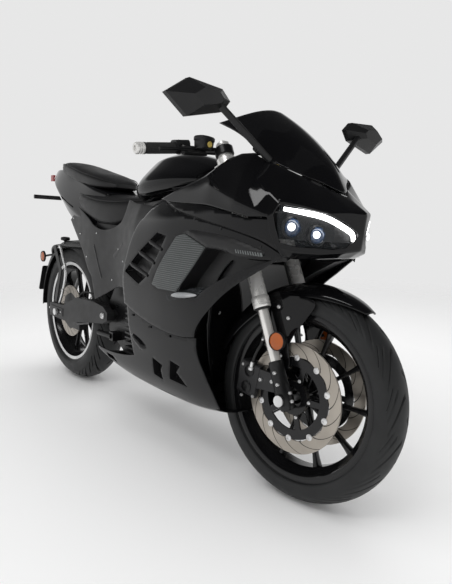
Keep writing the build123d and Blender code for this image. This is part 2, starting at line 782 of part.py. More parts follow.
# Columns: x, half width at the bottom, bottom z, half width at the waist, waist z, half width on top, top z
tail_rows = (
    (-300, 96, 700, 118, 722, 100, 850),
    (-450, 110, 690, 134, 740, 110, 880),
    (-600, 104, 724, 130, 790, 90, 920),
    (-750, 84, 800, 112, 850, 76, 958),
    (-880, 50, 874, 82, 906, 56, 974),
    (-1000, 12, 924, 26, 934, 20, 958),
)


def hexagon(x, low_half, low, waist_half, waist, top_half, top):
    """Section of a body that is widest at its waist."""
    right = [(low_half, low), (waist_half, waist), (top_half, top)]
    return polygon(Plane.YZ.offset(x), right + [(-y, z) for y, z in right[::-1]])


with BuildPart() as tail_fairing:
    loft([hexagon(*row) for row in tail_rows], ruled=True)
    for piece in (rider_seat, pillion_seat, main_frame, rear_shock):
        add(piece.part, mode=Mode.SUBTRACT)
tail_fairing.part.label = "tail_fairing"

# Columns: x, half width at the bottom, bottom z, half width at the waist, waist z, half width on top, top z
tank_rows = (
    (-56, 92, 800, 100, 840, 62, 926),
    (0, 138, 800, 152, 860, 76, 968),
    (80, 158, 806, 172, 876, 84, 988),
    (200, 150, 822, 162, 886, 80, 980),
    (318, 120, 850, 128, 886, 70, 936),
)
with BuildPart() as tank_cover:
    loft([hexagon(*row) for row in tank_rows], ruled=True)
    for piece in (rider_seat, main_frame):
        add(piece.part, mode=Mode.SUBTRACT)
tank_cover.part.label = "tank_cover"

# Body skins. Each row: x, then (half width, z) pairs down the outer line of the sheet
upper_rows = (
    (-10, [(150, 800), (196, 720), (208, 600), (196, 430)]),
    (150, [(158, 822), (206, 752), (220, 620), (202, 405)]),
    (300, [(158, 850), (210, 775), (226, 650), (204, 390)]),
    (450, [(152, 905), (206, 780), (216, 665), (198, 400)]),
    (560, [(128, 940), (196, 790), (202, 680), (190, 520)]),
    (680, [(112, 915), (172, 770), (168, 690), (160, 620)]),
    (790, [(78, 860), (132, 748), (128, 696), (118, 640)]),
)
belly_rows = (
    (-200, [(176, 300), (158, 236), (140, 205), (62, 176), (0, 172)]),
    (-60, [(186, 390), (172, 236), (150, 200), (62, 172), (0, 168)]),
    (60, [(194, 480), (186, 300), (158, 206), (62, 174), (0, 170)]),
    (240, [(200, 470), (192, 300), (160, 208), (62, 178), (0, 172)]),
    (420, [(196, 470), (188, 320), (166, 216), (70, 188), (0, 184)]),
    (520, [(188, 470), (182, 330), (168, 222), (90, 200), (0, 200)]),
)
fairing_top = [(95, 740), (130, 775), (175, 795), (250, 800), (420, 765), (600, 722), (690, 704), (770, 688)]
fairing_seam = [(430, 428), (300, 413), (215, 420), (150, 432), (100, 450), (35, 465)]
fairing_outline = [(18, 583), (60, 680)] + fairing_top + [
    (755, 670), (680, 655), (600, 610), (530, 560), (475, 500), (445, 460),
] + fairing_seam
strip_outline = [(60, 812), (120, 803)] + [(x, z + seam) for x, z in fairing_top[2:7]] + [
    (690, 714), (600, 747), (519, 799), (412, 825), (330, 835), (200, 846), (100, 836),
]
belly_outline = [(x, z - seam) for x, z in fairing_seam[::-1]] + [
    (446, 370), (480, 310), (505, 280),
    (518, 222), (518, 0), (-186, 0), (-186, 262), (-150, 270), (0, 280), (88, 296), (96, 320), (84, 360),
]
insert_outline = [(200, 560), (340, 548), (362, 578), (440, 652), (470, 687), (320, 705)]
gill_rows = ((44, 574), (88, 604), (132, 640), (178, 676))
vent_outlines = (
    [(210, 250), (225, 312), (255, 302), (290, 250)],
    [(300, 252), (325, 332), (350, 317), (390, 260)],
    [(-100, 250), (-50, 252), (-14, 234), (-90, 230)],
)
lamp_outline = [(842, 728), (838, 742), (805, 768), (722, 800), (712, 720), (800, 718)]
nose_rows = (
    (600, [(124, 952), (152, 918), (204, 808), (206, 748)]),
    (668, [(114, 927), (138, 894), (188, 802), (188, 720)]),
    (722, [(94, 892), (114, 874), (160, 803), (160, 706)]),
    (782, [(0, 844), (62, 838), (106, 782), (98, 704)]),
    (805, [(0, 830), (46, 816), (80, 770), (74, 704)]),
    (829, [(0, 814), (22, 801), (42, 757), (38, 712)]),
    (848, [(0, 798), (8, 791), (12, 783), (10, 760)]),
)
cowl_rows = (
    (330, [(150, 888), (158, 878), (172, 858), (186, 836)]),
    (412, [(154, 904), (164, 894), (186, 860), (200, 826)]),
    (519, [(148, 938), (162, 924), (200, 850), (210, 800)]),
    (600, [(124, 952), (152, 918), (204, 808), (206, 748)]),
)
screen_rows = (
    (400, [(0, 1120), (60, 1112), (112, 1088), (132, 1042)]),
    (480, [(0, 1100), (56, 1092), (104, 1066), (128, 1004)]),
    (570, [(0, 1040), (52, 1034), (98, 1010), (122, 958)]),
    (640, [(0, 976), (46, 974), (86, 962), (112, 936)]),
    (714, [(0, 908), (30, 907), (60, 904), (86, 897)]),
    (770, [(0, 860), (14, 859), (28, 857), (40, 854)]),
)


def add_skin(rows, wall, side):
    """Sheet of a body skin on one side of the bike, ruled from row to row."""
    sections = [
        polygon(Plane.YZ.offset(x), [(side * y, z) for y, z in strip(outline, wall)]) for x, outline in rows
    ]
    for pair in zip(sections, sections[1:]):
        loft(pair, ruled=True)


sides = {"right": -1, "left": 1}
reach = {name: sorted((side * 30, side * 300)) for name, side in sides.items()}
fairings = {}
for name, side in sides.items():
    with BuildPart() as side_fairing:
        add_skin(upper_rows, skin, side)
        add(side_prism(fairing_outline, *reach[name]), mode=Mode.INTERSECT)
        add(side_prism(insert_outline, *reach[name]), mode=Mode.SUBTRACT)
        for x, z in gill_rows:
            gill = [(x, z), (x + 22, z - 20), (x + 70, z + 26), (x + 48, z + 46)]
            add(side_prism(gill, *reach[name]), mode=Mode.SUBTRACT)
    side_fairing.part.label = f"side_fairing_{name}"
    fairings[name] = side_fairing


def both_sides(outline):
    """Side outline drawn out on both sides of the bike."""
    return [side_prism(outline, *ends) for ends in reach.values()]


with BuildPart() as side_strips:
    for side in sides.values():
        add_skin(upper_rows, skin, side)
    add(both_sides(strip_outline), mode=Mode.INTERSECT)
    for piece in (tank_cover, main_frame):
        add(piece.part, mode=Mode.SUBTRACT)
side_strips.part.label = "side_strips"

with BuildPart() as side_inserts:
    for side in sides.values():
        add_skin(upper_rows, skin, side)
    add(both_sides(insert_outline), mode=Mode.INTERSECT)
side_inserts.part.label = "side_inserts"

with BuildPart() as belly_pan:
    for side in sides.values():
        add_skin(belly_rows, skin, side)
    add(side_prism(belly_outline, -300, 300), mode=Mode.INTERSECT)
    for outline in vent_outlines:
        add(both_sides(outline), mode=Mode.SUBTRACT)
    with Locations((450, 0, 240)):
        Box(240, 300, 300, mode=Mode.SUBTRACT)
    with Locations((-60, 160, 240)):
        Box(300, 200, 220, mode=Mode.SUBTRACT)
    for piece in (*fairings.values(), main_frame):
        add(piece.part, mode=Mode.SUBTRACT)
belly_pan.part.label = "belly_pan"

cover_outline = [
    (-600, 735), (-500, 660), (-430, 600), (-385, 545), (-345, 515), (-315, 425), (-200, 480), (-140, 540),
    (-100, 585), (16, 768), (20, 800), (-40, 822), (-60, 770), (-100, 735), (-180, 712), (-260, 705),
    (-330, 720), (-380, 745), (-500, 790),
]
cover_rows = (
    (-610, [(112, 800), (116, 700), (112, 600)]),
    (-380, [(138, 800), (140, 660), (134, 420)]),
    (-100, [(148, 830), (152, 660), (140, 400)]),
    (30, [(160, 830), (180, 740), (170, 500)]),
)
with BuildPart() as side_covers:
    for side in sides.values():
        add_skin(cover_rows, skin, side)
    add(both_sides(cover_outline), mode=Mode.INTERSECT)
    for piece in (tank_cover, *fairings.values(), side_strips, rider_seat, tail_fairing, main_frame):
        add(piece.part, mode=Mode.SUBTRACT)
side_covers.part.label = "side_covers"

with BuildPart() as nose_fairing:
    for side in sides.values():
        add_skin(nose_rows, skin, side)
        add_skin(cowl_rows, skin, side)
    for side in sides.values():
        ends = sorted((side * 2, side * 300))
        add(side_prism(lamp_outline, *ends), mode=Mode.SUBTRACT)
    for piece in (tank_cover, side_strips, *fairings.values(), main_frame):
        add(piece.part, mode=Mode.SUBTRACT)
nose_fairing.part.label = "nose_fairing"

lamp_glass = skin - 1
with BuildPart() as headlamp_lenses:
    for side in sides.values():
        add_skin(nose_rows, lamp_glass, side)
    lens_prisms = [side_prism(lamp_outline, *sorted((side * 2, side * 300))) for side in sides.values()]
    add(lens_prisms, mode=Mode.INTERSECT)
headlamp_lenses.part.label = "headlamp_lenses"

screen_thickness = 3.0
with BuildPart() as windscreen:
    for side in sides.values():
        add_skin(screen_rows, screen_thickness, side)
    add(nose_fairing.part, mode=Mode.SUBTRACT)
windscreen.part.label = "windscreen"

housing_floor = [(828, 0), (802, 56), (716, 138), (650, 138)]
with BuildPart() as headlamp_housing:
    whole = housing_floor + [(x, -y) for x, y in housing_floor[:0:-1]]
    extrude(polygon(Plane.XY.offset(722), whole), amount=66)
    for piece in (nose_fairing, headlamp_lenses, main_frame):
        add(piece.part, mode=Mode.SUBTRACT)
headlamp_housing.part.label = "headlamp_housing"

# Mirrors. The glass faces backwards; columns of the head's outline: half width, z
mirror_outline = [(423, 1045), (359, 1089), (258, 1081), (231, 1056), (254, 1027), (361, 1000)]
mirror_ridge = (322, 1044)
mirror_x = (568.0, 584.0, 622.0)
mirror_stem = ((596, 285, 1046), (634, 130.5, 921.5))
with BuildPart() as mirrors:
    for side in sides.values():
        rim = [(side * y, z) for y, z in mirror_outline]
        ridge = [
            (
                side * (mirror_ridge[0] + (y - mirror_ridge[0]) * 0.45),
                mirror_ridge[1] + (z - mirror_ridge[1]) * 0.45,
            )
            for y, z in mirror_outline
        ]
        extrude(polygon(Plane.YZ.offset(mirror_x[0]), rim), amount=mirror_x[1] - mirror_x[0])
        loft(
            [polygon(Plane.YZ.offset(mirror_x[1]), rim), polygon(Plane.YZ.offset(mirror_x[2]), ridge)],
            ruled=True,
        )
        add_bar(mirrored(mirror_stem[0], side), mirrored(mirror_stem[1], side), 9)
    for piece in (nose_fairing, windscreen):
        add(piece.part, mode=Mode.SUBTRACT)
mirrors.part.label = "mirrors"

with BuildPart() as front_panel:
    profile = [(300, 190), (330, 300), (350, 400), (385, 480), (430, 560), (446, 600)]
    sheet = strip(profile, 4.0)
    extrude(polygon(Plane.XZ.offset(-136), sheet), amount=272)
    for piece in (battery_case, main_frame, belly_pan, *fairings.values()):
        add(piece.part, mode=Mode.SUBTRACT)
front_panel.part.label = "front_panel"

with BuildPart() as instrument_display:
    face = Plane(origin=(display_x - 8, 0, display_z + 8), x_dir=(0, 1, 0), z_dir=(-0.8, 0, 0.6))
    with BuildSketch(face) as panel:
        RectangleRounded(150, 70, 12)
    extrude(panel.sketch, amount=-22)
    add(main_frame.part, mode=Mode.SUBTRACT)
instrument_display.part.label = "instrument_display"

with BuildPart() as tail_lamp:
    with Locations((-985, 0, 930)):
        Box(30, 90, 30)
    add(tail_fairing.part, mode=Mode.SUBTRACT)
tail_lamp.part.label = "tail_lamp"

with BuildPart() as rear_indicators:
    for side in sides.values():
        add_bar((-745, side * 70, 828), (-770, side * 215, 828), 9)
    add(tail_fairing.part, mode=Mode.SUBTRACT)
rear_indicators.part.label = "rear_indicators"

with BuildPart() as front_indicators:
    for side in sides.values():
        add_bar((480, side * 190, 566), (356, side * 236, 532), 13)
    for piece in (*fairings.values(), side_inserts):
        add(piece.part, mode=Mode.SUBTRACT)
front_indicators.part.label = "front_indicators"

footrest_z = 292.0
with BuildPart() as footrests:
    for side in sides.values():
        with Locations((-212, side * (plate_outer + 20), 292)):
            Box(30, 40, 34)
        add_bar((-212, side * 112, footrest_z), (-306, side * 120, footrest_z), 11)
    add(swingarm.part, mode=Mode.SUBTRACT)
footrests.part.label = "footrests"

# Bodies. Each lists its pieces; the wheels turn on the frame or the steering, the stand on the frame
bodies = {
    "frame": [
        main_frame, battery_case, motor_block, chain, swingarm, rear_axle, rear_shock, rear_hugger,
        plate_bracket, number_plate, rear_caliper, footrests, rider_seat, pillion_seat,
        tail_fairing, tail_lamp, rear_indicators, tank_cover, nose_fairing, headlamp_lenses,
        headlamp_housing, windscreen, instrument_display, front_panel, front_indicators,
        *fairings.values(), side_strips, side_inserts, belly_pan, side_covers, mirrors,
    ],
    "steering": [
        fork_uppers, fork_sliders, fork_feet, triple_clamps, front_axle, handlebars, grips, bar_ends,
        switchgear, master_cylinders, levers, front_fender, front_calipers, fork_reflectors,
    ],
    "front_wheel": [front_tyre, front_rim, front_discs, disc_carriers],
    "rear_wheel": [rear_tyre, rear_rim, rear_disc, rear_sprocket],
    "side_stand": [side_stand],
}
steered = ("steering", "front_wheel")


def parked(shape, turned):
    """The shape as it stands parked: steered if it turns with the fork, then leaned."""
    if turned:
        shape = shape.rotate(steering_axis, parked_steer)
    return shape.rotate(Axis.X, -parked_lean)


stood = {}
for body, pieces in bodies.items():
    for piece in pieces:
        stood[piece.part.label] = parked(piece.part, body in steered)

# The origin moves to the ground under the middle of the parked bike
boxes = [shape.bounding_box() for shape in stood.values()]
middle_x = (min(box.min.X for box in boxes) + max(box.max.X for box in boxes)) / 2
middle_y = (min(box.min.Y for box in boxes) + max(box.max.Y for box in boxes)) / 2
to_origin = Location((-middle_x, -middle_y, -leaned_rear))
for label, shape in stood.items():
    piece = shape.moved(to_origin)
    piece.label = label
    export_step(piece, f"parts/{label}.step")

print("origin moved by", tuple(to_origin.position))
print("stand axis", tuple(stand_axis), "stowed angle", stand_stowed_angle)
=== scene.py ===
"""Looks of the electric sport motorcycle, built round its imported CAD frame."""
import json
import math

import bmesh
import bpy
import numpy as np
from mathutils import Matrix, Vector
from mathutils.geometry import delaunay_2d_cdt


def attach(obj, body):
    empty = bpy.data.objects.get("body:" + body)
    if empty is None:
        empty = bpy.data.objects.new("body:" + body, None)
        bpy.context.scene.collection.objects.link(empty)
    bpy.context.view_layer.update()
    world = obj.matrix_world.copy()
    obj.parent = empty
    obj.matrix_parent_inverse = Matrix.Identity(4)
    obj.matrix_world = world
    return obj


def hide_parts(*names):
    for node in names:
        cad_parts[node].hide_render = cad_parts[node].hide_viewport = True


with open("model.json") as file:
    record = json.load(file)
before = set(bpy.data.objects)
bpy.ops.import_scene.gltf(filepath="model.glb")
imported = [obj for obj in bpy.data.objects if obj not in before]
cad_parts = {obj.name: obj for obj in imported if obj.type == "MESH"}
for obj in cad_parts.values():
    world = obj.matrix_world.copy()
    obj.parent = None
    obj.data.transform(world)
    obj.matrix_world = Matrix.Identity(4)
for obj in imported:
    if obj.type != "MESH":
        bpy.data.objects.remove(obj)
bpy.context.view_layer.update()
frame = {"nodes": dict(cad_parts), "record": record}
nodes = frame["nodes"]
scene = bpy.context.scene

# The bike's own frame, in millimetres: +X forward, +Y left, +Z up, upright and steered straight
MM = 0.001
WHEELBASE = 1400
TRAIL = 95
FRONT_RADIUS = 293
REAR_RADIUS = 314
RIM_RADIUS = 222
FORK_SIDE = 98
AXLE_X = WHEELBASE / 2
RAKE = math.radians(25)
LEAN = math.radians(-4)
STEER = math.radians(7)

# The same frame as it is parked, in metres
ORIGIN = Vector((0.030061, -0.072896, 0.000197))
FRONT_AXLE = Vector((AXLE_X * MM, 0, FRONT_RADIUS * MM))
REAR_AXLE = Vector((-AXLE_X * MM, 0, REAR_RADIUS * MM))
STEER_FOOT = Vector(((AXLE_X + TRAIL) * MM, 0, 0))
STEER_UP = Vector((-math.sin(RAKE), 0, math.cos(RAKE)))

PARKED = Matrix.Translation(ORIGIN) @ Matrix.Rotation(LEAN, 4, "X")
STEERED = (
    PARKED @ Matrix.Translation(STEER_FOOT) @ Matrix.Rotation(STEER, 4, STEER_UP)
    @ Matrix.Translation(-STEER_FOOT)
)
FRONT_WHEEL = STEERED @ Matrix.Translation(FRONT_AXLE)
REAR_WHEEL = PARKED @ Matrix.Translation(REAR_AXLE)
BODY_MATRIX = {
    "frame": PARKED, "steering": STEERED, "front_wheel": FRONT_WHEEL, "rear_wheel": REAR_WHEEL,
    "side_stand": PARKED,
}


# Materials
SHADE_CHANGE = 0.15  # share by which a finish's colour varies over it
GRAIN_DEPTH = 0.0004


def new_material(name):
    material = bpy.data.materials.new(name)
    material.use_nodes = True
    tree = material.node_tree
    return material, tree, tree.nodes["Principled BSDF"]


def noise(tree, scale, detail=4.0, coordinates=None):
    node = tree.nodes.new("ShaderNodeTexNoise")
    node.inputs["Scale"].default_value = scale
    node.inputs["Detail"].default_value = detail
    if coordinates is None:
        coordinates = tree.nodes.new("ShaderNodeTexCoord").outputs["Object"]
    tree.links.new(coordinates, node.inputs["Vector"])
    return node


def ramp(tree, source, stops):
    node = tree.nodes.new("ShaderNodeValToRGB")
    node.color_ramp.elements[0].position = stops[0][0]
    node.color_ramp.elements[0].color = stops[0][1]
    node.color_ramp.elements[1].position = stops[-1][0]
    node.color_ramp.elements[1].color = stops[-1][1]
    for position, colour in stops[1:-1]:
        node.color_ramp.elements.new(position).color = colour
    tree.links.new(source, node.inputs["Fac"])
    return node


def grey(value):
    return (value, value, value, 1)


def add_bump(tree, shader, height, strength, distance):
    node = tree.nodes.new("ShaderNodeBump")
    node.inputs["Strength"].default_value = strength
    node.inputs["Distance"].default_value = distance
    tree.links.new(height, node.inputs["Height"])
    tree.links.new(node.outputs["Normal"], shader.inputs["Normal"])


def surface(name, colour, rough, metallic=0.0, coat=0.0, grain=400.0, bump=0.0, spread=0.15, shine=0.5):
    """Plain finish with its own fine grain: colour and roughness vary a little over it."""
    material, tree, shader = new_material(name)
    patches = noise(tree, 9.0)
    low = [c * (1 - SHADE_CHANGE) for c in colour] + [1]
    high = [min(c * (1 + SHADE_CHANGE), 1) for c in colour] + [1]
    tint = ramp(tree, patches.outputs["Fac"], [(0.3, low), (0.7, high)])
    tree.links.new(tint.outputs["Color"], shader.inputs["Base Color"])
    smear = noise(tree, 23.0, 8.0)
    polish = ramp(
        tree, smear.outputs["Fac"],
        [(0.25, grey(max(rough * (1 - spread), 0.02))), (0.75, grey(rough * (1 + spread)))],
    )
    tree.links.new(polish.outputs["Color"], shader.inputs["Roughness"])
    shader.inputs["Metallic"].default_value = metallic
    shader.inputs["Specular IOR Level"].default_value = shine
    shader.inputs["Coat Weight"].default_value = coat
    shader.inputs["Coat Roughness"].default_value = 0.03
    if bump:
        fine = noise(tree, grain, 2.0)
        add_bump(tree, shader, fine.outputs["Fac"], bump, GRAIN_DEPTH)
    return material


def glass(name, colour, alpha, rough=0.03):
    """Thin tinted sheet, mostly see-through, with a low shine."""
    material, tree, shader = new_material(name)
    dust = noise(tree, 60.0, 6.0)
    polish = ramp(tree, dust.outputs["Fac"], [(0.3, grey(rough)), (0.8, grey(rough * 1.8))])
    tree.links.new(polish.outputs["Color"], shader.inputs["Roughness"])
    shader.inputs["Base Color"].default_value = (*colour, 1)
    shader.inputs["Alpha"].default_value = alpha
    shader.inputs["Specular IOR Level"].default_value = 0.35
    return material


def glow(name, colour, strength):
    material, tree, shader = new_material(name)
    grain = noise(tree, 120.0)
    tint = ramp(
        tree, grain.outputs["Fac"],
        [(0.3, [c * 0.92 for c in colour] + [1]), (0.7, list(colour) + [1])],
    )
    tree.links.new(tint.outputs["Color"], shader.inputs["Base Color"])
    shader.inputs["Emission Color"].default_value = (*colour, 1)
    shader.inputs["Emission Strength"].default_value = strength
    shader.inputs["Roughness"].default_value = 0.2
    return material


FINISH = {
    "gloss_black": surface("gloss_black_paint", (0.0035, 0.0035, 0.004), 0.06, spread=0.3, shine=0.3),
    "matte_grey": surface("matte_grey_plastic", (0.016, 0.016, 0.0165), 0.42, bump=0.25, shine=0.3),
    "frame_black": surface("frame_black_paint", (0.006, 0.006, 0.0065), 0.3, bump=0.15, shine=0.35),
    "case_black": surface("case_black_cast", (0.012, 0.012, 0.013), 0.45, bump=0.6, grain=900),
    "chain_steel": surface("chain_steel", (0.25, 0.24, 0.22), 0.35, metallic=1.0),
    "steel": surface("zinc_steel", (0.75, 0.75, 0.75), 0.35, metallic=0.9),
    "black_plastic": surface("black_plastic_moulded", (0.008, 0.008, 0.0085), 0.38, bump=0.35, grain=1200,
                             shine=0.35),
    "plate_white": surface("blank_plate", (0.62, 0.62, 0.6), 0.4),
    "seat_black": surface("seat_vinyl", (0.012, 0.012, 0.0125), 0.42, bump=0.5, grain=1500, shine=0.35),
    "lamp_red": surface("red_lamp_lens", (0.25, 0.006, 0.006), 0.12, coat=0.5),
    "clear_lens": glass("clear_lens", (0.05, 0.055, 0.06), 0.12),
    "smoke_screen": glass("smoke_screen", (0.003, 0.003, 0.0035), 0.95),
    "aluminium": surface("brushed_aluminium", (0.78, 0.77, 0.75), 0.28, metallic=0.55),
    "chrome": surface("chrome_slider", (0.85, 0.83, 0.8), 0.16, metallic=0.65),
    "rubber_black": surface("grip_rubber", (0.012, 0.012, 0.012), 0.7, bump=0.5),
    "amber": surface("amber_reflector", (0.36, 0.075, 0.003), 0.2, coat=0.2),
    "tyre": surface("tyre_rubber", (0.012, 0.0125, 0.013), 0.55, bump=0.4, grain=700, shine=0.4),
    "wheel_black": surface("wheel_black_paint", (0.005, 0.005, 0.0055), 0.18, shine=0.4),
    "disc_steel": surface("disc_steel", (0.40, 0.365, 0.32), 0.36, metallic=0.9),
    "carbon": surface("carbon_look", (0.03, 0.034, 0.034), 0.35),
}

slot_of = {part["node"]: part["material_slot"] for part in frame["record"]["subparts"]}
for name, node in nodes.items():
    node.data.materials.clear()
    node.data.materials.append(FINISH[slot_of[name]])


# Mesh tools. Tables are in millimetres in the bike's own frame; meshes are in metres
LEAST_RADIUS = 0.02
SHARP = 35  # degrees between faces from which an edge of a turned or cut piece looks sharp


def shown(name, mesh, body, finish, slot=None, replaces=()):
    """Puts a mesh made in its body's upright frame in place, with a finish."""
    piece = bpy.data.objects.new(name, mesh)
    scene.collection.objects.link(piece)
    piece.matrix_world = BODY_MATRIX[body]
    mesh.materials.append(FINISH[finish] if isinstance(finish, str) else finish)
    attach(piece, body)
    if replaces:
        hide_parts(*replaces)
    return piece


def mesh_of(name, points, faces, smooth=True, sharp_angle=None):
    """Mesh from points in millimetres. Edges over the sharp angle, in degrees, stay sharp."""
    mesh = bpy.data.meshes.new(name)
    mesh.from_pydata([tuple(c * MM for c in p) for p in points], [], [tuple(f) for f in faces])
    mesh.validate()
    mesh.shade_smooth() if smooth else mesh.shade_flat()
    if sharp_angle:
        mesh.set_sharp_from_angle(angle=math.radians(sharp_angle))
    return mesh


def bands(rings, count, closed=True, start=0):
    """Faces between rings that follow each other, of count points each, numbered from start."""
    return [
        (start + k * count + i, start + k * count + (i + 1) % count,
         start + (k + 1) * count + (i + 1) % count, start + (k + 1) * count + i)
        for k in range(rings - 1) for i in range(count if closed else count - 1)
    ]


def octagon(corner=0.6):
    """Eight points of a square with cut corners, from -1 to 1."""
    return ((-1, -corner), (-0.6, -1), (0.6, -1), (1, -corner), (1, corner), (0.6, 1), (-0.6, 1),
            (-1, corner))


def mirror(piece):
    """The same piece on the other side of the bike."""
    piece.modifiers.new("mirror", "MIRROR").use_axis = (False, True, False)
    return piece


def sheet(piece, thickness):
    """Gives an open surface its thickness, inwards from the surface."""
    solid = piece.modifiers.new("thickness", "SOLIDIFY")
    solid.thickness = thickness * MM
    solid.offset = -1
    return piece


def soften(piece, width, segments=2, angle=40):
    """Rounds the sharp edges."""
    bevel = piece.modifiers.new("edges", "BEVEL")
    bevel.width = width * MM
    bevel.segments = segments
    bevel.limit_method = "ANGLE"
    bevel.angle_limit = math.radians(angle)
    return piece


def subdivide(piece, levels=2):
    modifier = piece.modifiers.new("subdivision", "SUBSURF")
    modifier.levels = modifier.render_levels = levels
    return piece


OVERRUN = 0.3  # share of a step by which a curve runs on past its ends
SKIN_MARGIN = 30  # how far a skin runs on above and below its rows
ROW_SHARE = 0.866  # from row to row of even triangles, as a share of their step


def through(stations, values, at):
    """Smooth curve through values at rising stations, read at one station or several."""
    stations = np.asarray(stations, float)
    values = np.asarray(values, float)
    at = np.asarray(at, float)
    slopes = np.gradient(values, stations, axis=0)
    k = np.clip(np.searchsorted(stations, at) - 1, 0, len(stations) - 2)
    step = stations[k + 1] - stations[k]
    t = np.clip((at - stations[k]) / step, -OVERRUN, 1 + OVERRUN)
    shape = t.shape + (1,) * (values.ndim - 1)
    t, step = t.reshape(shape), step.reshape(shape)
    a, b, da, db = values[k], values[k + 1], slopes[k] * step, slopes[k + 1] * step
    return (
        (2 * t**3 - 3 * t**2 + 1) * a + (t**3 - 2 * t**2 + t) * da
        + (3 * t**2 - 2 * t**3) * b + (t**3 - t**2) * db
    )


class Skin:
    """Half width of the bodywork over its side view, smooth through rows of (x, [(y, z), ...])."""

    def __init__(self, rows):
        rows = sorted(rows)
        self.stations = [row[0] for row in rows]
        self.table = np.array([row[1] for row in rows], float)

    def width(self, x, z):
        column = through(self.stations, self.table, x)[::-1]
        heights = np.maximum.accumulate(column[:, 1] + np.arange(len(column)) * 1e-3)
        z = np.clip(z, heights[0] - SKIN_MARGIN, heights[-1] + SKIN_MARGIN)
        return float(through(heights, column[:, 0], z))

    def point(self, x, z, out=0.0):
        return (x, -(self.width(x, z) + out), z)


def rounded(points, sharp=(), step=9.0, closed=True):
    """Outline through points, curved except where the point's number is in sharp."""
    points = [Vector(p) for p in points]
    count = len(points)
    made = []
    for i in range(count if closed else count - 1):
        a, b = points[i], points[(i + 1) % count]
        before = a if (i in sharp or (not closed and i == 0)) else points[i - 1]
        last = (i + 1) % count in sharp or (not closed and i == count - 2)
        after = b if last else points[(i + 2) % count]
        start = (b - before) / 2 if before is not a else (b - a)
        end = (after - a) / 2 if after is not b else (b - a)
        length = (b - a).length
        start = start.normalized() * min(start.length, length) if start.length else start
        end = end.normalized() * min(end.length, length) if end.length else end
        n = max(1, round(length / step))
        for j in range(n):
            t = j / n
            made.append(
                a * (2 * t**3 - 3 * t**2 + 1) + start * (t**3 - 2 * t**2 + t)
                + b * (3 * t**2 - 2 * t**3) + end * (t**3 - t**2)
            )
    if not closed:
        made.append(points[-1])
    return made


def inside(point, outline):
    """True if a point of the side view is inside an outline."""
    x, z = point
    odd = False
    for i, (x0, z0) in enumerate(outline):
        x1, z1 = outline[i - 1]
        if (z0 > z) != (z1 > z) and x < (x1 - x0) * (z - z0) / (z1 - z0) + x0:
            odd = not odd
    return odd


def edge_distance(point, outline):
    best = 1e9
    p = Vector(point)
    for i, b in enumerate(outline):
        a = outline[i - 1]
        run = b - a
        t = max(0.0, min(1.0, (p - a).dot(run) / max(run.length_squared, 1e-9)))
        best = min(best, (p - a - run * t).length)
    return best


def flat_grid(outline, holes=(), step=12.0):
    """Triangles that fill an outline in the side view, with even points inside it."""
    points, edges = [], []
    for loop in (outline, *holes):
        start = len(points)
        points += [Vector(p) for p in loop]
        edges += [(start + i, start + (i + 1) % len(loop)) for i in range(len(loop))]
    xs, zs = [p.x for p in outline], [p.y for p in outline]
    row = 0
    z = min(zs)
    while z < max(zs):
        x = min(xs) + (row % 2) * step / 2
        while x < max(xs):
            p = (x, z)
            if inside(p, outline) and edge_distance(p, outline) > step * 0.5:
                if not any(inside(p, h) or edge_distance(p, h) < step * 0.5 for h in holes):
                    points.append(Vector(p))
            x += step
        z += step * ROW_SHARE
        row += 1
    verts, _, faces, *_ = delaunay_2d_cdt(points, edges, [], 0, 1e-4)
    kept = []
    for f in faces:
        middle = sum((verts[i] for i in f), Vector((0, 0))) / 3
        if inside(middle, outline) and not any(inside(middle, h) for h in holes):
            kept.append(f)
    return verts, kept


def panel(name, outline, skin, finish="gloss_black", holes=(), step=12.0, out=0.0, thickness=4.0,
          **options):
    """Sheet of bodywork on both sides, cut to an outline of the side view."""
    verts, faces = flat_grid(outline, holes, step)
    points = [skin.point(v.x, v.y, out) for v in verts]
    piece = shown(name, mesh_of(name, points, outwards(points, faces)), "frame", finish, **options)
    sheet(piece, thickness)
    soften(piece, 1.0)
    return mirror(piece)


def outwards(points, faces):
    """Faces of the right side, turned to look outwards, to -Y."""
    turned = []
    for face in faces:
        a, b, c = (Vector(points[i]) for i in face[:3])
        turned.append(face if (b - a).cross(c - a).y < 0 else face[::-1])
    return turned


def recess(name, outline, skin, depth, shrink=0.9):
    """Duct behind an opening: its walls and its floor, with a rounded lip."""
    centre = sum(outline, Vector((0, 0))) / len(outline)
    loops = []
    for share, inward in ((1.0, 1.0), (1.0, depth * 0.5), (shrink, depth)):
        loop = [centre + (p - centre) * share for p in outline]
        loops.append([skin.point(p.x, p.y, -inward) for p in loop])
    points = [p for loop in loops for p in loop]
    faces = bands(len(loops), len(outline))
    floor = [centre + (p - centre) * shrink for p in outline]
    verts, triangles = flat_grid(floor, step=14.0)
    start = len(points)
    points += [skin.point(v.x, v.y, -depth) for v in verts]
    faces += [[start + i for i in f] for f in triangles]
    return mirror(shown(name, mesh_of(name, points, faces), "frame", "black_plastic"))


def raised(name, outline, skin, height, border, step, base=0.0, finish="gloss_black"):
    """Raised plate on the skin: sloping border, then a face that follows the skin."""
    verts, faces = flat_grid(outline, step=step)
    points = []
    for v in verts:
        share = min(edge_distance(v, outline) / border, 1.0)
        share = math.sin(share * math.pi / 2)
        points.append(skin.point(v.x, v.y, base + (height - base) * share))
    return mirror(shown(name, mesh_of(name, points, outwards(points, faces)), "frame", finish))


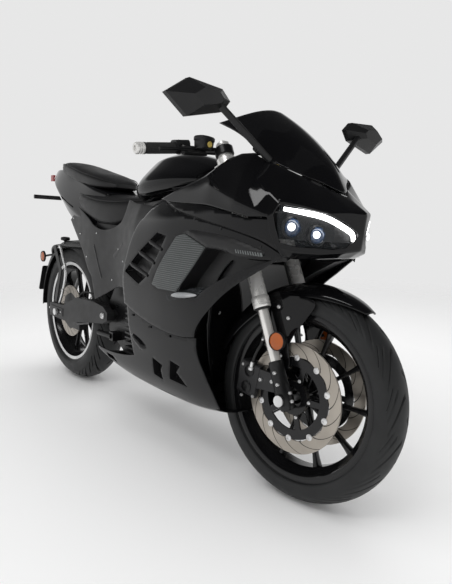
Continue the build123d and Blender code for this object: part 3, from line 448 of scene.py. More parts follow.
def lathe(name, profile, body, finish, axis_start, axis_end, segments=48, smooth_angle=SHARP,
          **options):
    """Round piece: profile of (radius, distance) pairs in millimetres about a line."""
    start, end = Vector(axis_start), Vector(axis_end)
    along = (end - start).normalized()
    side = along.orthogonal().normalized()
    other = along.cross(side)
    points = []
    for radius, distance in profile:
        for i in range(segments):
            angle = 2 * math.pi * i / segments
            offset = side * math.cos(angle) + other * math.sin(angle)
            points.append(start + along * distance + offset * max(radius, LEAST_RADIUS))
    mesh = mesh_of(name, points, bands(len(profile), segments), sharp_angle=smooth_angle)
    return shown(name, mesh, body, finish, **options)


def sharp_lines(wanted):
    """Pairs of number and sharpness, from numbers alone or such pairs."""
    return [line if isinstance(line, tuple) else (line, 1.0) for line in wanted]


def crease_edges(mesh, sharpness_of):
    layer = mesh.attributes.new("crease_edge", "FLOAT", "EDGE")
    for edge in mesh.edges:
        layer.data[edge.index].value = sharpness_of(frozenset(edge.vertices))


def loft(name, sections, body, finish, closed=True, levels=2, crease=(), rings=(), **options):
    """Body through sections of points in millimetres. Numbers in crease are the lengthwise lines
    kept sharp, and numbers in rings the sections kept sharp."""
    count = len(sections[0])
    points = [p for section in sections for p in section]
    faces = bands(len(sections), count, closed)
    if closed:
        faces.append(tuple(range(count))[::-1])
        faces.append(tuple((len(sections) - 1) * count + i for i in range(count)))
    mesh = mesh_of(name, points, faces)
    values = {}
    for line, share in sharp_lines(crease):
        for k in range(len(sections) - 1):
            values[frozenset((k * count + line, (k + 1) * count + line))] = share
    for ring, share in sharp_lines(rings):
        first = ring % len(sections) * count
        for i in range(count if closed else count - 1):
            values[frozenset((first + i, first + (i + 1) % count))] = share
    crease_edges(mesh, lambda edge: values.get(edge, 0.0))
    bm = bmesh.new()
    bm.from_mesh(mesh)
    bmesh.ops.recalc_face_normals(bm, faces=bm.faces)
    bm.to_mesh(mesh)
    bm.free()
    piece = shown(name, mesh, body, finish, **options)
    return subdivide(piece, levels)


def tube(name, path, radius, body, finish, taper=None, resolution=6, **options):
    """Smooth round bar along a path in millimetres."""
    curve = bpy.data.curves.new(name, "CURVE")
    curve.dimensions = "3D"
    curve.bevel_depth = radius * MM
    curve.bevel_resolution = 3
    curve.use_fill_caps = True
    spline = curve.splines.new("NURBS")
    spline.points.add(len(path) - 1)
    for i, p in enumerate(path):
        spline.points[i].co = (*[c * MM for c in p], 1)
        if taper:
            spline.points[i].radius = taper[i]
    spline.order_u = min(3, len(path))
    spline.use_endpoint_u = True
    curve.resolution_u = resolution
    source = bpy.data.objects.new(name, curve)
    mesh = bpy.data.meshes.new_from_object(source)
    bpy.data.objects.remove(source)
    mesh.shade_smooth()
    return shown(name, mesh, body, finish, **options)


class Fasteners:
    """All the bolts of one body and finish, gathered in one mesh."""

    def __init__(self, name, body, finish):
        self.name, self.body, self.finish = name, body, finish
        self.points, self.faces = [], []

    def add(self, place, direction, radius, height, both=False):
        sides = 24
        if both:
            self.add((place[0], -place[1], place[2]), (direction[0], -direction[1], direction[2]), radius,
                     height)
        along = Vector(direction).normalized()
        side = along.orthogonal().normalized()
        other = along.cross(side)
        hollow = radius * 0.5
        profile = [(radius, -1.0), (radius, height * 0.45), (radius * 0.72, height), (hollow, height),
                   (hollow * 0.9, height * 0.3), (0.05, height * 0.25)]
        start = len(self.points)
        for r, d in profile:
            for i in range(sides):
                angle = 2 * math.pi * i / sides
                offset = (side * math.cos(angle) + other * math.sin(angle)) * r
                self.points.append(Vector(place) + along * d + offset)
        self.faces += bands(len(profile), sides, start=start)

    def done(self):
        mesh = mesh_of(self.name, self.points, self.faces, sharp_angle=SHARP)
        return shown(self.name, mesh, self.body, self.finish)


frame_bolts = Fasteners("frame_bolts", "frame", "steel")
fork_bolts = Fasteners("fork_bolts", "steering", "steel")
black_bolts = Fasteners("panel_screws", "frame", "case_black")


# Bodywork. Rows of the skins: x, then (half width, z) pairs from the top down
UPPER_ROWS = (
    (-10, [(150, 800), (196, 720), (208, 600), (196, 430)]),
    (150, [(158, 822), (206, 752), (220, 620), (202, 405)]),
    (300, [(158, 850), (210, 775), (226, 650), (204, 390)]),
    (450, [(152, 905), (206, 780), (216, 665), (198, 400)]),
    (560, [(128, 940), (196, 790), (202, 680), (190, 520)]),
    (680, [(112, 915), (172, 770), (168, 690), (160, 620)]),
    (790, [(78, 860), (132, 748), (128, 696), (118, 640)]),
)
BELLY_ROWS = (
    (-240, [(170, 300), (160, 262), (146, 228), (130, 205)]),
    (-60, [(186, 390), (176, 290), (162, 226), (140, 190)]),
    (60, [(194, 480), (187, 320), (168, 224), (146, 186)]),
    (240, [(200, 470), (193, 320), (172, 226), (148, 190)]),
    (420, [(197, 470), (189, 330), (174, 232), (154, 196)]),
    (520, [(190, 470), (184, 340), (174, 240), (158, 204)]),
)
COVER_ROWS = (
    (-610, [(112, 800), (116, 700), (112, 600), (108, 500)]),
    (-380, [(138, 800), (140, 700), (138, 560), (134, 420)]),
    (-100, [(146, 830), (152, 700), (148, 540), (140, 400)]),
    (30, [(152, 830), (180, 740), (178, 620), (170, 500)]),
)
upper_skin, belly_skin, cover_skin = Skin(UPPER_ROWS), Skin(BELLY_ROWS), Skin(COVER_ROWS)

# Outlines are (x, z) points of the side view, in order round the piece
FAIRING_REAR = [(37, 465), (33, 535), (40, 578), (64, 638), (108, 712), (134, 752), (170, 792), (219, 813)]
FAIRING_TOP = [(329, 784), (441, 762), (554, 741), (659, 714), (726, 680)]
FAIRING_FRONT = [(679, 650), (637, 622), (593, 594), (548, 558), (504, 517), (467, 478), (446, 448),
                 (439, 424)]
FAIRING_SEAM = [(384, 415), (323, 414), (209, 425), (98, 447)]
fairing_edge = rounded(FAIRING_REAR + FAIRING_TOP + FAIRING_FRONT + FAIRING_SEAM, sharp=(0, 12, 20))
GILLS = [(262, 716), (310, 708), (280, 662), (249, 622), (207, 578), (152, 545), (53, 577), (92, 606),
         (152, 649), (214, 686)]
gill_edge = rounded(GILLS, sharp=(0, 1, 5, 6), step=7)
SCOOP = [(491, 685), (553, 682), (612, 668), (694, 668), (640, 645), (560, 610), (495, 574), (452, 541),
         (372, 540), (402, 585), (452, 640)]
scoop_edge = rounded(SCOOP, sharp=(0, 3, 7, 8), step=8)
INSERT = [(360, 710), (397, 719), (487, 686), (452, 640), (415, 598), (368, 548), (276, 546), (240, 556),
          (282, 617)]
insert_edge = rounded(INSERT, sharp=(0, 1, 2, 5, 6, 7), step=8)
LIP = [(364, 711), (416, 730), (493, 727), (587, 716), (678, 688), (669, 673), (598, 671), (553, 684),
       (491, 686), (397, 721)]
lip_edge = rounded(LIP, sharp=(0, 4, 5, 8), step=8)

panel(
    "side_fairing_shell", fairing_edge, upper_skin, holes=(gill_edge, scoop_edge, insert_edge), step=11,
    replaces=("side_fairing_right", "side_fairing_left"),
)
recess("gill_duct", gill_edge, upper_skin, 26)
recess("scoop_duct", scoop_edge, upper_skin, 46, shrink=0.86)
panel(
    "ribbed_insert", insert_edge, upper_skin, finish="carbon", step=6, out=1.0, replaces=("side_inserts",)
)
raised("scoop_lip", lip_edge, upper_skin, 9.0, 9.0, 8, base=1.0, finish="matte_grey")

GILL_BARS = (((214, 688), (292, 666)), ((150, 650), (254, 622)), ((88, 608), (214, 579)))
for number, (start, end) in enumerate(GILL_BARS):
    path = []
    for share in (0.0, 0.1, 0.35, 0.7, 1.0):
        x = start[0] + (end[0] - start[0]) * share
        z = start[1] + (end[1] - start[1]) * share
        path.append(upper_skin.point(x, z, -1.5 - 3 * (share < 0.05)))
    mirror(tube(f"gill_bar_{number}", path, 7.0, "frame", "matte_grey", taper=[0.6, 1, 1, 1, 0.8]))

STRIP = [(150, 800), (178, 812), (216, 819), (344, 806), (445, 802), (560, 784), (611, 772), (650, 773),
         (690, 774), (704, 732), (726, 683), (659, 717), (554, 744), (441, 765), (329, 787), (219, 816)]
strip_edge = rounded(STRIP, sharp=(0, 8, 10, 15), step=9)
panel("shoulder_strip", strip_edge, upper_skin, step=12, out=-3.0, replaces=("side_strips",))

BELLY_SIDE = [(37, 462), (98, 444), (209, 422), (323, 411), (384, 412), (439, 421), (441, 385), (457, 350),
              (487, 308), (517, 270), (536, 232), (440, 210), (320, 200), (160, 199), (20, 203), (-80, 212),
              (-170, 228), (-235, 246), (-228, 256), (-150, 256), (-75, 262), (20, 276), (84, 291),
              (80, 300), (66, 350), (48, 400)]
belly_edge = rounded(BELLY_SIDE, sharp=(0, 5, 10, 17, 18, 22, 23), step=10)
VENTS = (
    rounded([(210, 311), (266, 299), (256, 280), (263, 250), (212, 257)], sharp=range(5), step=8),
    rounded([(312, 325), (360, 317), (342, 295), (393, 262), (304, 264)], sharp=range(5), step=8),
    rounded([(-158, 246), (-96, 244), (-70, 226), (-150, 230)], sharp=range(4), step=8),
)
SCOOP_LOW = rounded([(66, 356), (80, 352), (137, 321), (178, 336), (140, 357), (86, 368)], sharp=(0, 3),
                    step=8)
belly_side = panel("belly_side", belly_edge, belly_skin, holes=VENTS, step=11)
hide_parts("belly_pan")
for number, vent in enumerate(VENTS):
    recess(f"belly_vent_{number}", vent, belly_skin, 24)
raised("belly_blister", SCOOP_LOW, belly_skin, 10.0, 14.0, 7)
BOTTOM_LINE = [(-235, 246), (-170, 228), (-80, 212), (20, 203), (160, 199), (320, 200), (440, 210),
               (536, 232)]
floor_rows = []
for x, z in BOTTOM_LINE:
    y = belly_skin.width(x, z)
    floor_rows.append([(x, -y, z), (x, -y + 16, z - 14), (x, -90, z - 24), (x, 0, z - 28)])
belly_floor = loft("belly_floor", floor_rows, "frame", "gloss_black", closed=False, crease=(0, 3))
mirror(sheet(belly_floor, 4))

COVER = [(-600, 735), (-500, 660), (-430, 600), (-385, 545), (-345, 515), (-315, 425), (-200, 470),
         (-120, 500), (-50, 505), (36, 500), (60, 640), (104, 712), (130, 752), (150, 798), (20, 806),
         (-40, 818), (-60, 770), (-100, 735), (-180, 712), (-260, 705), (-330, 720), (-380, 745),
         (-500, 790)]
cover_edge = rounded(COVER, sharp=(0, 4, 5, 8, 9, 13, 14, 15, 22), step=10)
panel("side_cover", cover_edge, cover_skin, finish="matte_grey", step=12, replaces=("side_covers",))
GROOVE = rounded([(-330, 640), (-318, 646), (-250, 520), (-262, 512)], sharp=range(4), step=8)
raised("cover_rib", GROOVE, cover_skin, 2.5, 5.0, 5, finish="black_plastic")
SLOT = rounded([(-150, 600), (-136, 606), (-60, 660), (-64, 670), (-160, 616)], sharp=range(5), step=8)
raised("cover_slot", SLOT, cover_skin, 1.5, 4.0, 5, finish="case_black")


def cage(name, corners, faces, sharpness, **options):
    """Creased shell from its right side: corners by name as (x, half width, z)."""
    number = {key: i for i, key in enumerate(corners)}
    points = [(x, -half, z) for x, half, z in corners.values()]
    mesh = mesh_of(name, points, [[number[k] for k in face.split()] for face in faces])
    bm = bmesh.new()
    bm.from_mesh(mesh)
    bmesh.ops.recalc_face_normals(bm, faces=bm.faces)
    if sum(f.normal.y * f.calc_area() for f in bm.faces) > 0:
        bmesh.ops.reverse_faces(bm, faces=bm.faces)
    bm.to_mesh(mesh)
    bm.free()
    crease_edges(mesh, lambda edge: sharpness)
    piece = mirror(shown(name, mesh, "frame", "gloss_black", **options))
    piece.modifiers["mirror"].use_clip = True
    subdivide(piece, 3)
    return sheet(piece, 4.0)


# Corners of the nose's right side
NOSE = {
    "a0": (784, 0, 839), "a1": (741, 49, 865), "a2": (712, 106, 886), "a3": (668, 129, 907),
    "a4": (612, 140, 927), "a5": (587, 140, 942), "a6": (543, 147, 942), "a7": (501, 156, 930),
    "n0": (854, 0, 797), "n1": (848, 0, 741), "r1": (838, 38, 797),
    "l1": (847, 12, 743), "l2": (829, 45, 769), "l3": (801, 89, 792), "l4": (764, 127, 801),
    "l5": (716, 165, 809), "c1": (678, 170, 840), "c2": (633, 176, 867), "c3": (590, 179, 887),
    "g1": (616, 192, 843), "h1": (474, 168, 912), "h2": (424, 176, 884), "h3": (290, 184, 843),
    "k1": (470, 196, 858), "k2": (588, 209, 812), "k3": (657, 198, 790),
    "d1": (704, 177, 784), "e1": (692, 184, 776), "e2": (634, 197, 774), "e3": (570, 202, 785),
    "e4": (464, 203, 803), "e5": (298, 190, 809), "e6": (215, 184, 819),
    "p1": (712, 171, 746), "p2": (721, 162, 714), "q1": (700, 180, 738), "q2": (713, 172, 706),
    "q3": (728, 156, 680), "s1": (749, 134, 706), "s2": (812, 62, 704), "s3": (831, 38, 711),
    "s4": (838, 25, 724), "u0": (745, 136, 692), "u1": (790, 88, 690), "u2": (826, 44, 696),
    "u3": (844, 0, 704), "v0": (730, 120, 674), "v1": (765, 78, 676), "v2": (796, 38, 680),
    "v3": (810, 0, 682),
}
NOSE_FACES = (
    "a0 a1 r1 n0", "a1 l3 r1", "a1 a2 l4 l3", "a2 a3 l5 l4", "n0 r1 l2 l1 n1", "r1 l3 l2",
    "a3 c1 l5", "a3 a4 c2 c1", "a4 a5 c3 c2", "a5 a6 c3", "a6 a7 c3",
    "a7 h1 k1", "a7 k1 k2 c3", "c3 k2 g1", "g1 k2 k3", "c2 c3 g1", "c1 c2 g1 k3", "c1 k3 e1", "c1 e1 d1 l5",
    "k1 k2 e3 e4", "k2 k3 e2 e3", "k3 e1 e2", "h1 h2 k1", "h2 h3 e5 e4 k1", "h3 e6 e5",
    "e1 q1 p1 d1", "q1 q2 p2 p1", "q2 u0 s1 p2", "u0 u1 s2 s1", "u1 u2 s3 s2", "u2 u3 n1 l1 s4 s3",
    "q2 q3 v0 u0", "u0 v0 v1 u1", "u1 v1 v2 u2", "u2 v2 v3 u3",
)
cage("nose_shell", NOSE, NOSE_FACES, sharpness=0.86, replaces=("nose_fairing",))

LENS_TOP = ["l5", "l4", "l3", "l2", "l1"]
LENS_LOW = ["p2", "s1", "s2", "s3", "s4"]
lens_rows = []
for top, low in zip(LENS_TOP, LENS_LOW):
    a, b = Vector(NOSE[top]), Vector(NOSE[low])
    middle = (a + b) / 2 + Vector((3, 5, 0))
    if top == "l5":
        middle = Vector(NOSE["p1"]) + Vector((1, 0, 12))
    lens_rows.append([(p.x - 2, -(p.y - 1), p.z) for p in (a, a.lerp(middle, 0.5) + Vector((1, 2, 0)),
                                                           middle, b)])
mirror(sheet(loft("headlamp_glass", lens_rows, "frame", "clear_lens", closed=False, rings=(0, -1),
                  crease=(0, 3), replaces=("headlamp_lenses",)), 3))

LED_PATH = [(722, 156, 797), (764, 120, 790), (799, 83, 781), (824, 42, 758), (836, 18, 742),
            (836, 22, 726)]
led = tube("light_strip", [(x - 2, -y, z) for x, y, z in LED_PATH], 7.0, "frame",
           glow("led_white", (1, 1, 1), 6.0), taper=[0.7, 1, 1, 1, 0.9, 0.6], slot="clear_lens")
mirror(led)
for number, (x, y, z, size) in enumerate(((728, 130, 752, 24), (772, 86, 736, 22))):
    start = (x - 26, -(y - 8), z)
    end = (x + 10, -(y + 3), z)
    mirror(lathe(
        f"projector_bezel_{number}",
        [(size * 0.6, 0), (size * 1.12, 18), (size * 1.22, 30), (size * 1.05, 33), (size * 0.98, 26)],
        "frame", "black_plastic", start, end,
    ))
    mirror(lathe(
        f"projector_lens_{number}",
        [(size, 26), (size * 0.93, 33), (size * 0.74, 39), (size * 0.4, 43), (0, 44)], "frame",
        surface(f"projector_lens_{number}", (0.03, 0.06, 0.13), 0.08, coat=1.0), start, end,
        slot="clear_lens",
    ))
    # A small glowing white dome at one side of each projector lens: painted reflection, a glint drawn as
    # glow
    mirror(lathe(
        f"projector_glint_{number}", [(size * 0.42, 0), (size * 0.34, 4), (0, 6)], "frame",
        glow(f"projector_glint_white_{number}", (1, 1, 1), 1.8), (x + 14, -(y + 17), z + 2),
        (x + 24, -(y + 23), z + 2), slot="clear_lens",
    ))

# Each row crosses the screen, from its middle outwards: (x, half width, z). The first is its top edge
SCREEN_EDGES = (
    ((519, 0, 1084), (509, 60, 1073), (492, 108, 1054), (414, 128, 1038)),
    ((570, 0, 1052), (568, 56, 1042), (558, 106, 1018), (528, 133, 996)),
    ((640, 0, 1002), (640, 52, 992), (634, 98, 964), (606, 137, 934)),
    ((709, 0, 943), (708, 44, 932), (700, 80, 914), (668, 127, 909)),
    ((752, 0, 893), (745, 26, 890), (736, 52, 884), (712, 102, 889)),
    ((782, 0, 844), (772, 18, 852), (760, 34, 860), (742, 48, 868)),
)
screen_sections = []
for edge in SCREEN_EDGES:
    right = [(x, -y, z) for x, y, z in edge[::-1]]
    left = [(x, y, z) for x, y, z in edge[1:]]
    screen_sections.append(right + left)
sheet(loft("screen_shell", screen_sections, "frame", "smoke_screen", closed=False, levels=3, rings=(0, -1),
           crease=(0, 6), replaces=("windscreen",)), 3)

# Dark sheet behind the seam between the fairing and its shoulder strip: painted shade for the gap
seam_line = [Vector(p) for p in FAIRING_TOP]
seam_shade_outline = [p + Vector((0, 16)) for p in seam_line] + [p - Vector((0, 16)) for p in seam_line[::-1]]
panel("seam_shade_sheet", seam_shade_outline, upper_skin, finish="black_plastic", step=14, out=-9.0, thickness=2.0)


# Wheels. Their meshes are about the axle
# Tread grooves get a darker colour than the tyre: painted shade in the grooves
FINISH["groove"] = surface("tread_groove", (0.002, 0.002, 0.002), 0.8, shine=0.1)


# Tread: how often its pattern repeats round the tyre, and the columns of points in one repeat
PITCHES, PITCH_COLUMNS = 16, 24
# Its grooves: from and to, as shares of the way from the crown to the shoulder, first column, depth
TREAD = ((0.06, 0.86, 3, 4.5), (0.42, 0.93, 13, 3.5), (0.62, 0.99, 20, 2.5))


def tyre(name, body, radius, width, rim_width, replaces, turn=1):
    """Road tyre: crown with curved grooves and sipes cut in, the grooves' faces painted darker as shade,
    then the side walls.
    """
    half, seat = width / 2, rim_width / 2
    shoulder_y, shoulder_r = half * 0.93, radius - width * 0.24
    drop = radius - shoulder_r
    crown = (shoulder_y**2 + drop**2) / (2 * drop)
    end = math.asin(shoulder_y / crown)
    sides = []
    for k in range(25):
        angle = end * k / 24
        sides.append((crown * math.sin(angle), radius - crown * (1 - math.cos(angle)), k / 24))
    middle = (shoulder_r + RIM_RADIUS) / 2
    wall = through(
        [0, 1, 2, 3, 4, 5],
        [(shoulder_y, shoulder_r), (half - 0.4, middle + 12), (half, middle), (half - 1.5, middle - 9),
         (seat + 5, RIM_RADIUS + 9), (seat, RIM_RADIUS + 3)],
        np.linspace(0, 5, 16)[1:],
    )
    sides += [(min(y, half), r - (0.9 if k in (2, 6, 9) else 0), 1.0) for k, (y, r) in enumerate(wall)]
    rows = [(-y, r, share, 1) for y, r, share in sides[:0:-1]] + [(y, r, share, 0) for y, r, share in sides]
    columns = PITCHES * PITCH_COLUMNS
    points, cut = [], []
    for y, r, share, left in rows:
        for i in range(columns):
            column = (i + (PITCH_COLUMNS // 2 if left else 0)) % PITCH_COLUMNS
            depth = 0.0
            for nearest, farthest, first, deep in TREAD:
                if nearest < share < farthest and column in (first, first + 1):
                    depth = deep
            angle = 2 * math.pi * i / columns + turn * 0.42 * min(share, 1) ** 1.5
            points.append(((r - depth) * math.cos(angle), y, (r - depth) * math.sin(angle)))
            cut.append(depth > 0)
    mesh = mesh_of(name, points, bands(len(rows), columns), sharp_angle=38)
    shown(name, mesh, body, "tyre", slot="tyre", replaces=replaces)
    # Faces cut into the grooves take the darker colour: painted shade in the grooves
    mesh.materials.append(FINISH["groove"])
    for face in mesh.polygons:
        face.material_index = int(all(cut[v] for v in face.vertices))


FRONT_RIM_WIDTH, REAR_RIM_WIDTH = 86, 112
tyre("front_tyre_tread", "front_wheel", FRONT_RADIUS, 112, FRONT_RIM_WIDTH, ("front_tyre",), turn=-1)
tyre("rear_tyre_tread", "rear_wheel", REAR_RADIUS, 142, REAR_RIM_WIDTH, ("rear_tyre",))


def wheel(side_name, body, rim_width, stripe):
    seat = rim_width / 2
    r = RIM_RADIUS
    half = [
        (r - 22, 0), (r - 22, seat - 26), (r - 4, seat - 10), (r + 1, seat - 8), (r + 2, seat - 1),
        (r + 9, seat), (r + 10, seat + 2), (r + 9, seat + 4.5), (r + 4, seat + 5), (r - 4, seat + 4),
        (r - 8, seat + 2), (r - 11, seat - 8), (r - 28, seat - 26), (r - 29, 0),
    ]
    barrel = half[:13] + [(a, -b) for a, b in half[::-1]]
    lathe(f"{side_name}_rim_barrel", barrel, body, "wheel_black", (0, 0, 0), (0, 1, 0), segments=128,
          replaces=(f"{side_name}_rim",), slot="wheel_black")
    lathe(f"{side_name}_hub", [(18, -50), (32, -50), (34, -46), (34, -34), (29, -28), (28, 0), (29, 28),
                               (34, 34), (34, 46), (32, 50), (18, 50)], body, "wheel_black", (0, 0, 0),
          (0, 1, 0), segments=48)
    spoke_count = 10
    points, faces = [], []
    # Columns: distance from the axle, half width, half depth
    stations = ((26, 9.5, 19), (44, 7.5, 15), (90, 5.8, 12), (150, 5.4, 11), (178, 6.8, 12.5),
                (200, 11, 16))
    for k in range(spoke_count):
        angle = 2 * math.pi * k / spoke_count
        radial = Vector((math.cos(angle), 0, math.sin(angle)))
        across = Vector((-math.sin(angle), 0, math.cos(angle)))
        start = len(points)
        for r_at, w, d in stations:
            for u, v in octagon(0.55):
                points.append(radial * r_at + across * (w * u) + Vector((0, d * v, 0)))
        faces += bands(len(stations), 8, start=start)
    spokes = shown(f"{side_name}_spokes", mesh_of(f"{side_name}_spokes", points, faces), body,
                   "wheel_black")
    subdivide(spokes, 1)
    if stripe:
        for side in (-1, 1):
            lathe(
                f"{side_name}_stripe_{'left' if side > 0 else 'right'}",
                [(213, seat + 3.6), (219, seat + 4.9), (226, seat + 5.4)], body, "stripe", (0, 0, 0),
                (0, side, 0), segments=128, slot="wheel_black",
            )


FINISH["stripe"] = surface("rim_stripe", (0.6, 0.6, 0.6), 0.35)
wheel("front", "front_wheel", FRONT_RIM_WIDTH, False)
wheel("rear", "rear_wheel", REAR_RIM_WIDTH, True)


DISC_HALF = 2.4  # half of a disc's thickness
SLOT_HALF, SLOT_SWEEP, SLOT_STEPS = 1.7, 0.42, 8


def disc(name, body, side, inner, outer, waves, slots, replaces):
    """Brake disc with a waved inner edge, and its slots as dark strips laid on its faces: painted shade in
    the slots.
    """
    points, faces = [], []
    steps = 240
    for depth in (-DISC_HALF, DISC_HALF):
        for ring in range(2):
            for i in range(steps):
                angle = 2 * math.pi * i / steps
                wave = 2.2 * math.cos(waves * angle)
                r = inner + 2.0 + wave if ring == 0 else outer
                points.append((r * math.cos(angle), side + depth, r * math.sin(angle)))
    for i in range(steps):
        j = (i + 1) % steps
        a, b, c, d = 0, steps, 2 * steps, 3 * steps
        faces += [(a + i, a + j, b + j, b + i), (c + i, d + i, d + j, c + j), (b + i, b + j, d + j, d + i),
                  (a + j, a + i, c + i, c + j)]
    mesh = mesh_of(name, points, faces, sharp_angle=SHARP)
    shown(name, mesh, body, "disc_steel", replaces=replaces, slot="disc_steel")
    # Dark strips just proud of both faces, in the frame's black paint: painted shade in the slots, which
    # are not cut
    points, faces = [], []
    for depth in (-DISC_HALF - 0.1, DISC_HALF + 0.1):
        for k in range(slots):
            start = len(points)
            for s in range(SLOT_STEPS + 1):
                u = s / SLOT_STEPS
                angle = 2 * math.pi * k / slots + SLOT_SWEEP * u**1.4
                r = inner + 2 + (outer - inner - 2.4) * u
                for w in (-SLOT_HALF, SLOT_HALF):
                    a = angle + w / r
                    points.append((r * math.cos(a), side + depth, r * math.sin(a)))
            faces += bands(SLOT_STEPS + 1, 2, closed=False, start=start)
    shown(f"{name}_slots", mesh_of(f"{name}_slots", points, faces), body, "frame_black")


DISC_SIDE = 62  # from the wheel's middle to a disc's
DISC_FACE = DISC_SIDE + DISC_HALF
BUTTON_CIRCLE, BOLT_CIRCLE = 111, 52
disc("brake_disc_front_left", "front_wheel", DISC_SIDE, 112, 150, 10, 15, ("front_discs",))
disc("brake_disc_front_right", "front_wheel", -DISC_SIDE, 112, 150, 10, 15, ())
disc("brake_disc_rear", "rear_wheel", -DISC_SIDE, 80, 118, 8, 16, ("rear_disc",))
for side in (-1, 1):
    tag = "left" if side > 0 else "right"
    wheel_buttons = Fasteners(f"disc_buttons_{tag}", "front_wheel", "steel")
    carrier_bolts = Fasteners(f"carrier_bolts_{tag}", "front_wheel", "steel")
    for k in range(10):
        angle = 2 * math.pi * (k + 0.5) / 10
        wheel_buttons.add(
            (BUTTON_CIRCLE * math.cos(angle), side * DISC_FACE, BUTTON_CIRCLE * math.sin(angle)),
            (0, side, 0), 9.0, 2.6,
        )
    for k in range(5):
        angle = 2 * math.pi * k / 5
        carrier_bolts.add(
            (BOLT_CIRCLE * math.cos(angle), side * DISC_FACE, BOLT_CIRCLE * math.sin(angle)), (0, side, 0),
            5, 3
        )
    wheel_buttons.done()
    carrier_bolts.done()
lathe("rear_disc_carrier", [(30, 50), (54, 50), (56, 57), (82, 60), (84, 64), (80, 64.5), (54, 61),
                            (40, 61)],
      "rear_wheel", "frame_black", (0, 0, 0), (0, -1, 0), segments=96)
for name in ("disc_carriers", "front_axle", "rear_axle", "rear_sprocket"):
    soften(nodes[name], 1.2)


# Fork, front mudguard and controls
FINISH["window"] = surface("sight_glass", (0.55, 0.42, 0.12), 0.15, coat=0.6)
FINISH["indicator_clear"] = surface("indicator_clear", (0.35, 0.36, 0.37), 0.12, coat=0.8)
# Lighter grey for the ribs' tops: painted highlight along each rib
FINISH["rib_highlight_grey"] = surface("rib_highlight_grey", (0.12, 0.13, 0.13), 0.4)


RAKE_SIN, RAKE_COS = round(math.sin(RAKE), 5), round(math.cos(RAKE), 5)


def leg(distance, side=-FORK_SIDE, ahead=0.0):
    """Point of a fork leg at a distance up from the axle, moved ahead square to the leg."""
    x = AXLE_X - RAKE_SIN * distance + RAKE_COS * ahead
    return (x, side, FRONT_RADIUS + RAKE_COS * distance + RAKE_SIN * ahead)


LEG_FOOT, LEG_TOP = leg(0), leg(700)
mirror(lathe(
    "fork_upper_tubes",
    [(16, 255), (24, 255), (25, 257), (25, 262), (23.6, 263), (23.6, 265), (25, 266), (25, 271),
     (23.6, 272), (23.6, 274), (25, 275), (25, 283), (23.5, 286), (21.8, 288), (21.5, 292), (21.5, 745),
     (19, 753), (8, 755), (0.1, 755)],
    "steering", "aluminium", LEG_FOOT, LEG_TOP, segments=64, replaces=("fork_uppers",),
))
mirror(lathe(
    "fork_slider_tubes", [(15, 100), (15, 290)], "steering", "chrome", LEG_FOOT, LEG_TOP, segments=64,
    replaces=("fork_sliders",),
))
mirror(lathe(
    "fork_dust_seals", [(15, 249), (19, 249), (21, 251), (21.5, 255), (16, 256)], "steering",
    "rubber_black", LEG_FOOT, LEG_TOP, segments=48,
))
sections = []
# Columns: distance up the leg, half width, half depth, how far ahead of the leg's axis
for distance, half, deep, ahead in (
    (-30, 13, 13, 0), (-24, 20, 19, 0), (0, 24, 22, 0), (22, 22, 21, 0), (40, 19, 19, -1),
    (66, 18.5, 20, -2), (92, 18, 18, -1), (101, 19.5, 19.5, 0), (105, 18, 18, 0),
):
    sections.append([leg(distance, half * u - FORK_SIDE, ahead + deep * v) for u, v in octagon()])
mirror(loft("fork_castings", sections, "steering", "frame_black", replaces=("fork_feet",),
            rings=((0, 0.6), (-1, 0.8))))
for distance in (-8, 14):
    fork_bolts.add(leg(distance, -100, 21), (0.906, 0, 0.423), 5, 5, both=True)
for distance in (42, 74):
    fork_bolts.add(leg(distance, -117, 2), (0, -1, 0), 5.5, 4, both=True)
mirror(lathe("axle_caps", [(19, 119), (17, 120), (17, 126), (15, 128), (9, 128.5), (8.5, 126), (0.1, 126)],
             "front_wheel", "frame_black", (0, 0, 0), (0, -1, 0), segments=48))
mirror(lathe("axle_ends", [(8, 126), (8, 129), (6, 130), (3.5, 130), (3.5, 127), (0.1, 127)], "front_wheel",
             "steel", (0, 0, 0), (0, -1, 0), segments=48))
CALIPER_FACE = -84.5
for along in (-24, 24):
    cap = Vector((553 - 0.139 * along, CALIPER_FACE, 314 - 0.99 * along))
    mirror(lathe(f"caliper_pot_{'low' if along > 0 else 'high'}",
                 [(17, 0), (17, 2.5), (15, 4), (6, 4.5), (5, 3), (0.1, 3)], "steering", "frame_black", cap,
                 cap + Vector((0, -1, 0)), segments=32))
for x, z in ((535, 262), (532, 352), (577, 268)):
    fork_bolts.add((x, CALIPER_FACE, z), (0, -1, 0), 4.5, 4, both=True)
for x, z in ((600, 322), (640, 326)):
    fork_bolts.add((x, -84, z), (0, -1, 0), 6, 5, both=True)

# Mudguard: hood over the tyre with a pointed front, and its two side legs
hood = []
# Columns: degrees round the wheel from straight ahead, half width, fall to the edge, radius
for degrees, half, drop, high in (
    (56, 20, 9, 311), (62, 36, 16, 313), (72, 50, 27, 315), (86, 60, 38, 316), (100, 66, 48, 316),
    (116, 70, 58, 316), (132, 71, 60, 316), (148, 70, 50, 315), (160, 66, 38, 313), (165, 58, 28, 311),
):
    turn = math.radians(degrees)
    ring = []
    for share, down in ((0, 0), (0.28, 0.015), (0.55, 0.12), (0.80, 0.34), (0.95, 0.64), (1.0, 1.0)):
        r = high - drop * down
        ring.append((AXLE_X + r * math.cos(turn), -half * share, FRONT_RADIUS + r * math.sin(turn)))
    hood.append(ring[::-1] + [(x, -y, z) for x, y, z in ring[1:]])
sheet(loft("mudguard_hood", hood, "steering", "gloss_black", closed=False, crease=((3, 0.5), (7, 0.5)),
           replaces=("front_fender",)), 3.0)
leg_outline = [Vector(p) for p in (
    (628, 575), (694, 572), (742, 556), (716, 506), (690, 470), (674, 430), (682, 384), (672, 362),
    (640, 360), (626, 392), (628, 440), (606, 492), (578, 540), (596, 566),
)]
verts, faces = flat_grid(rounded(leg_outline, step=8), step=16)
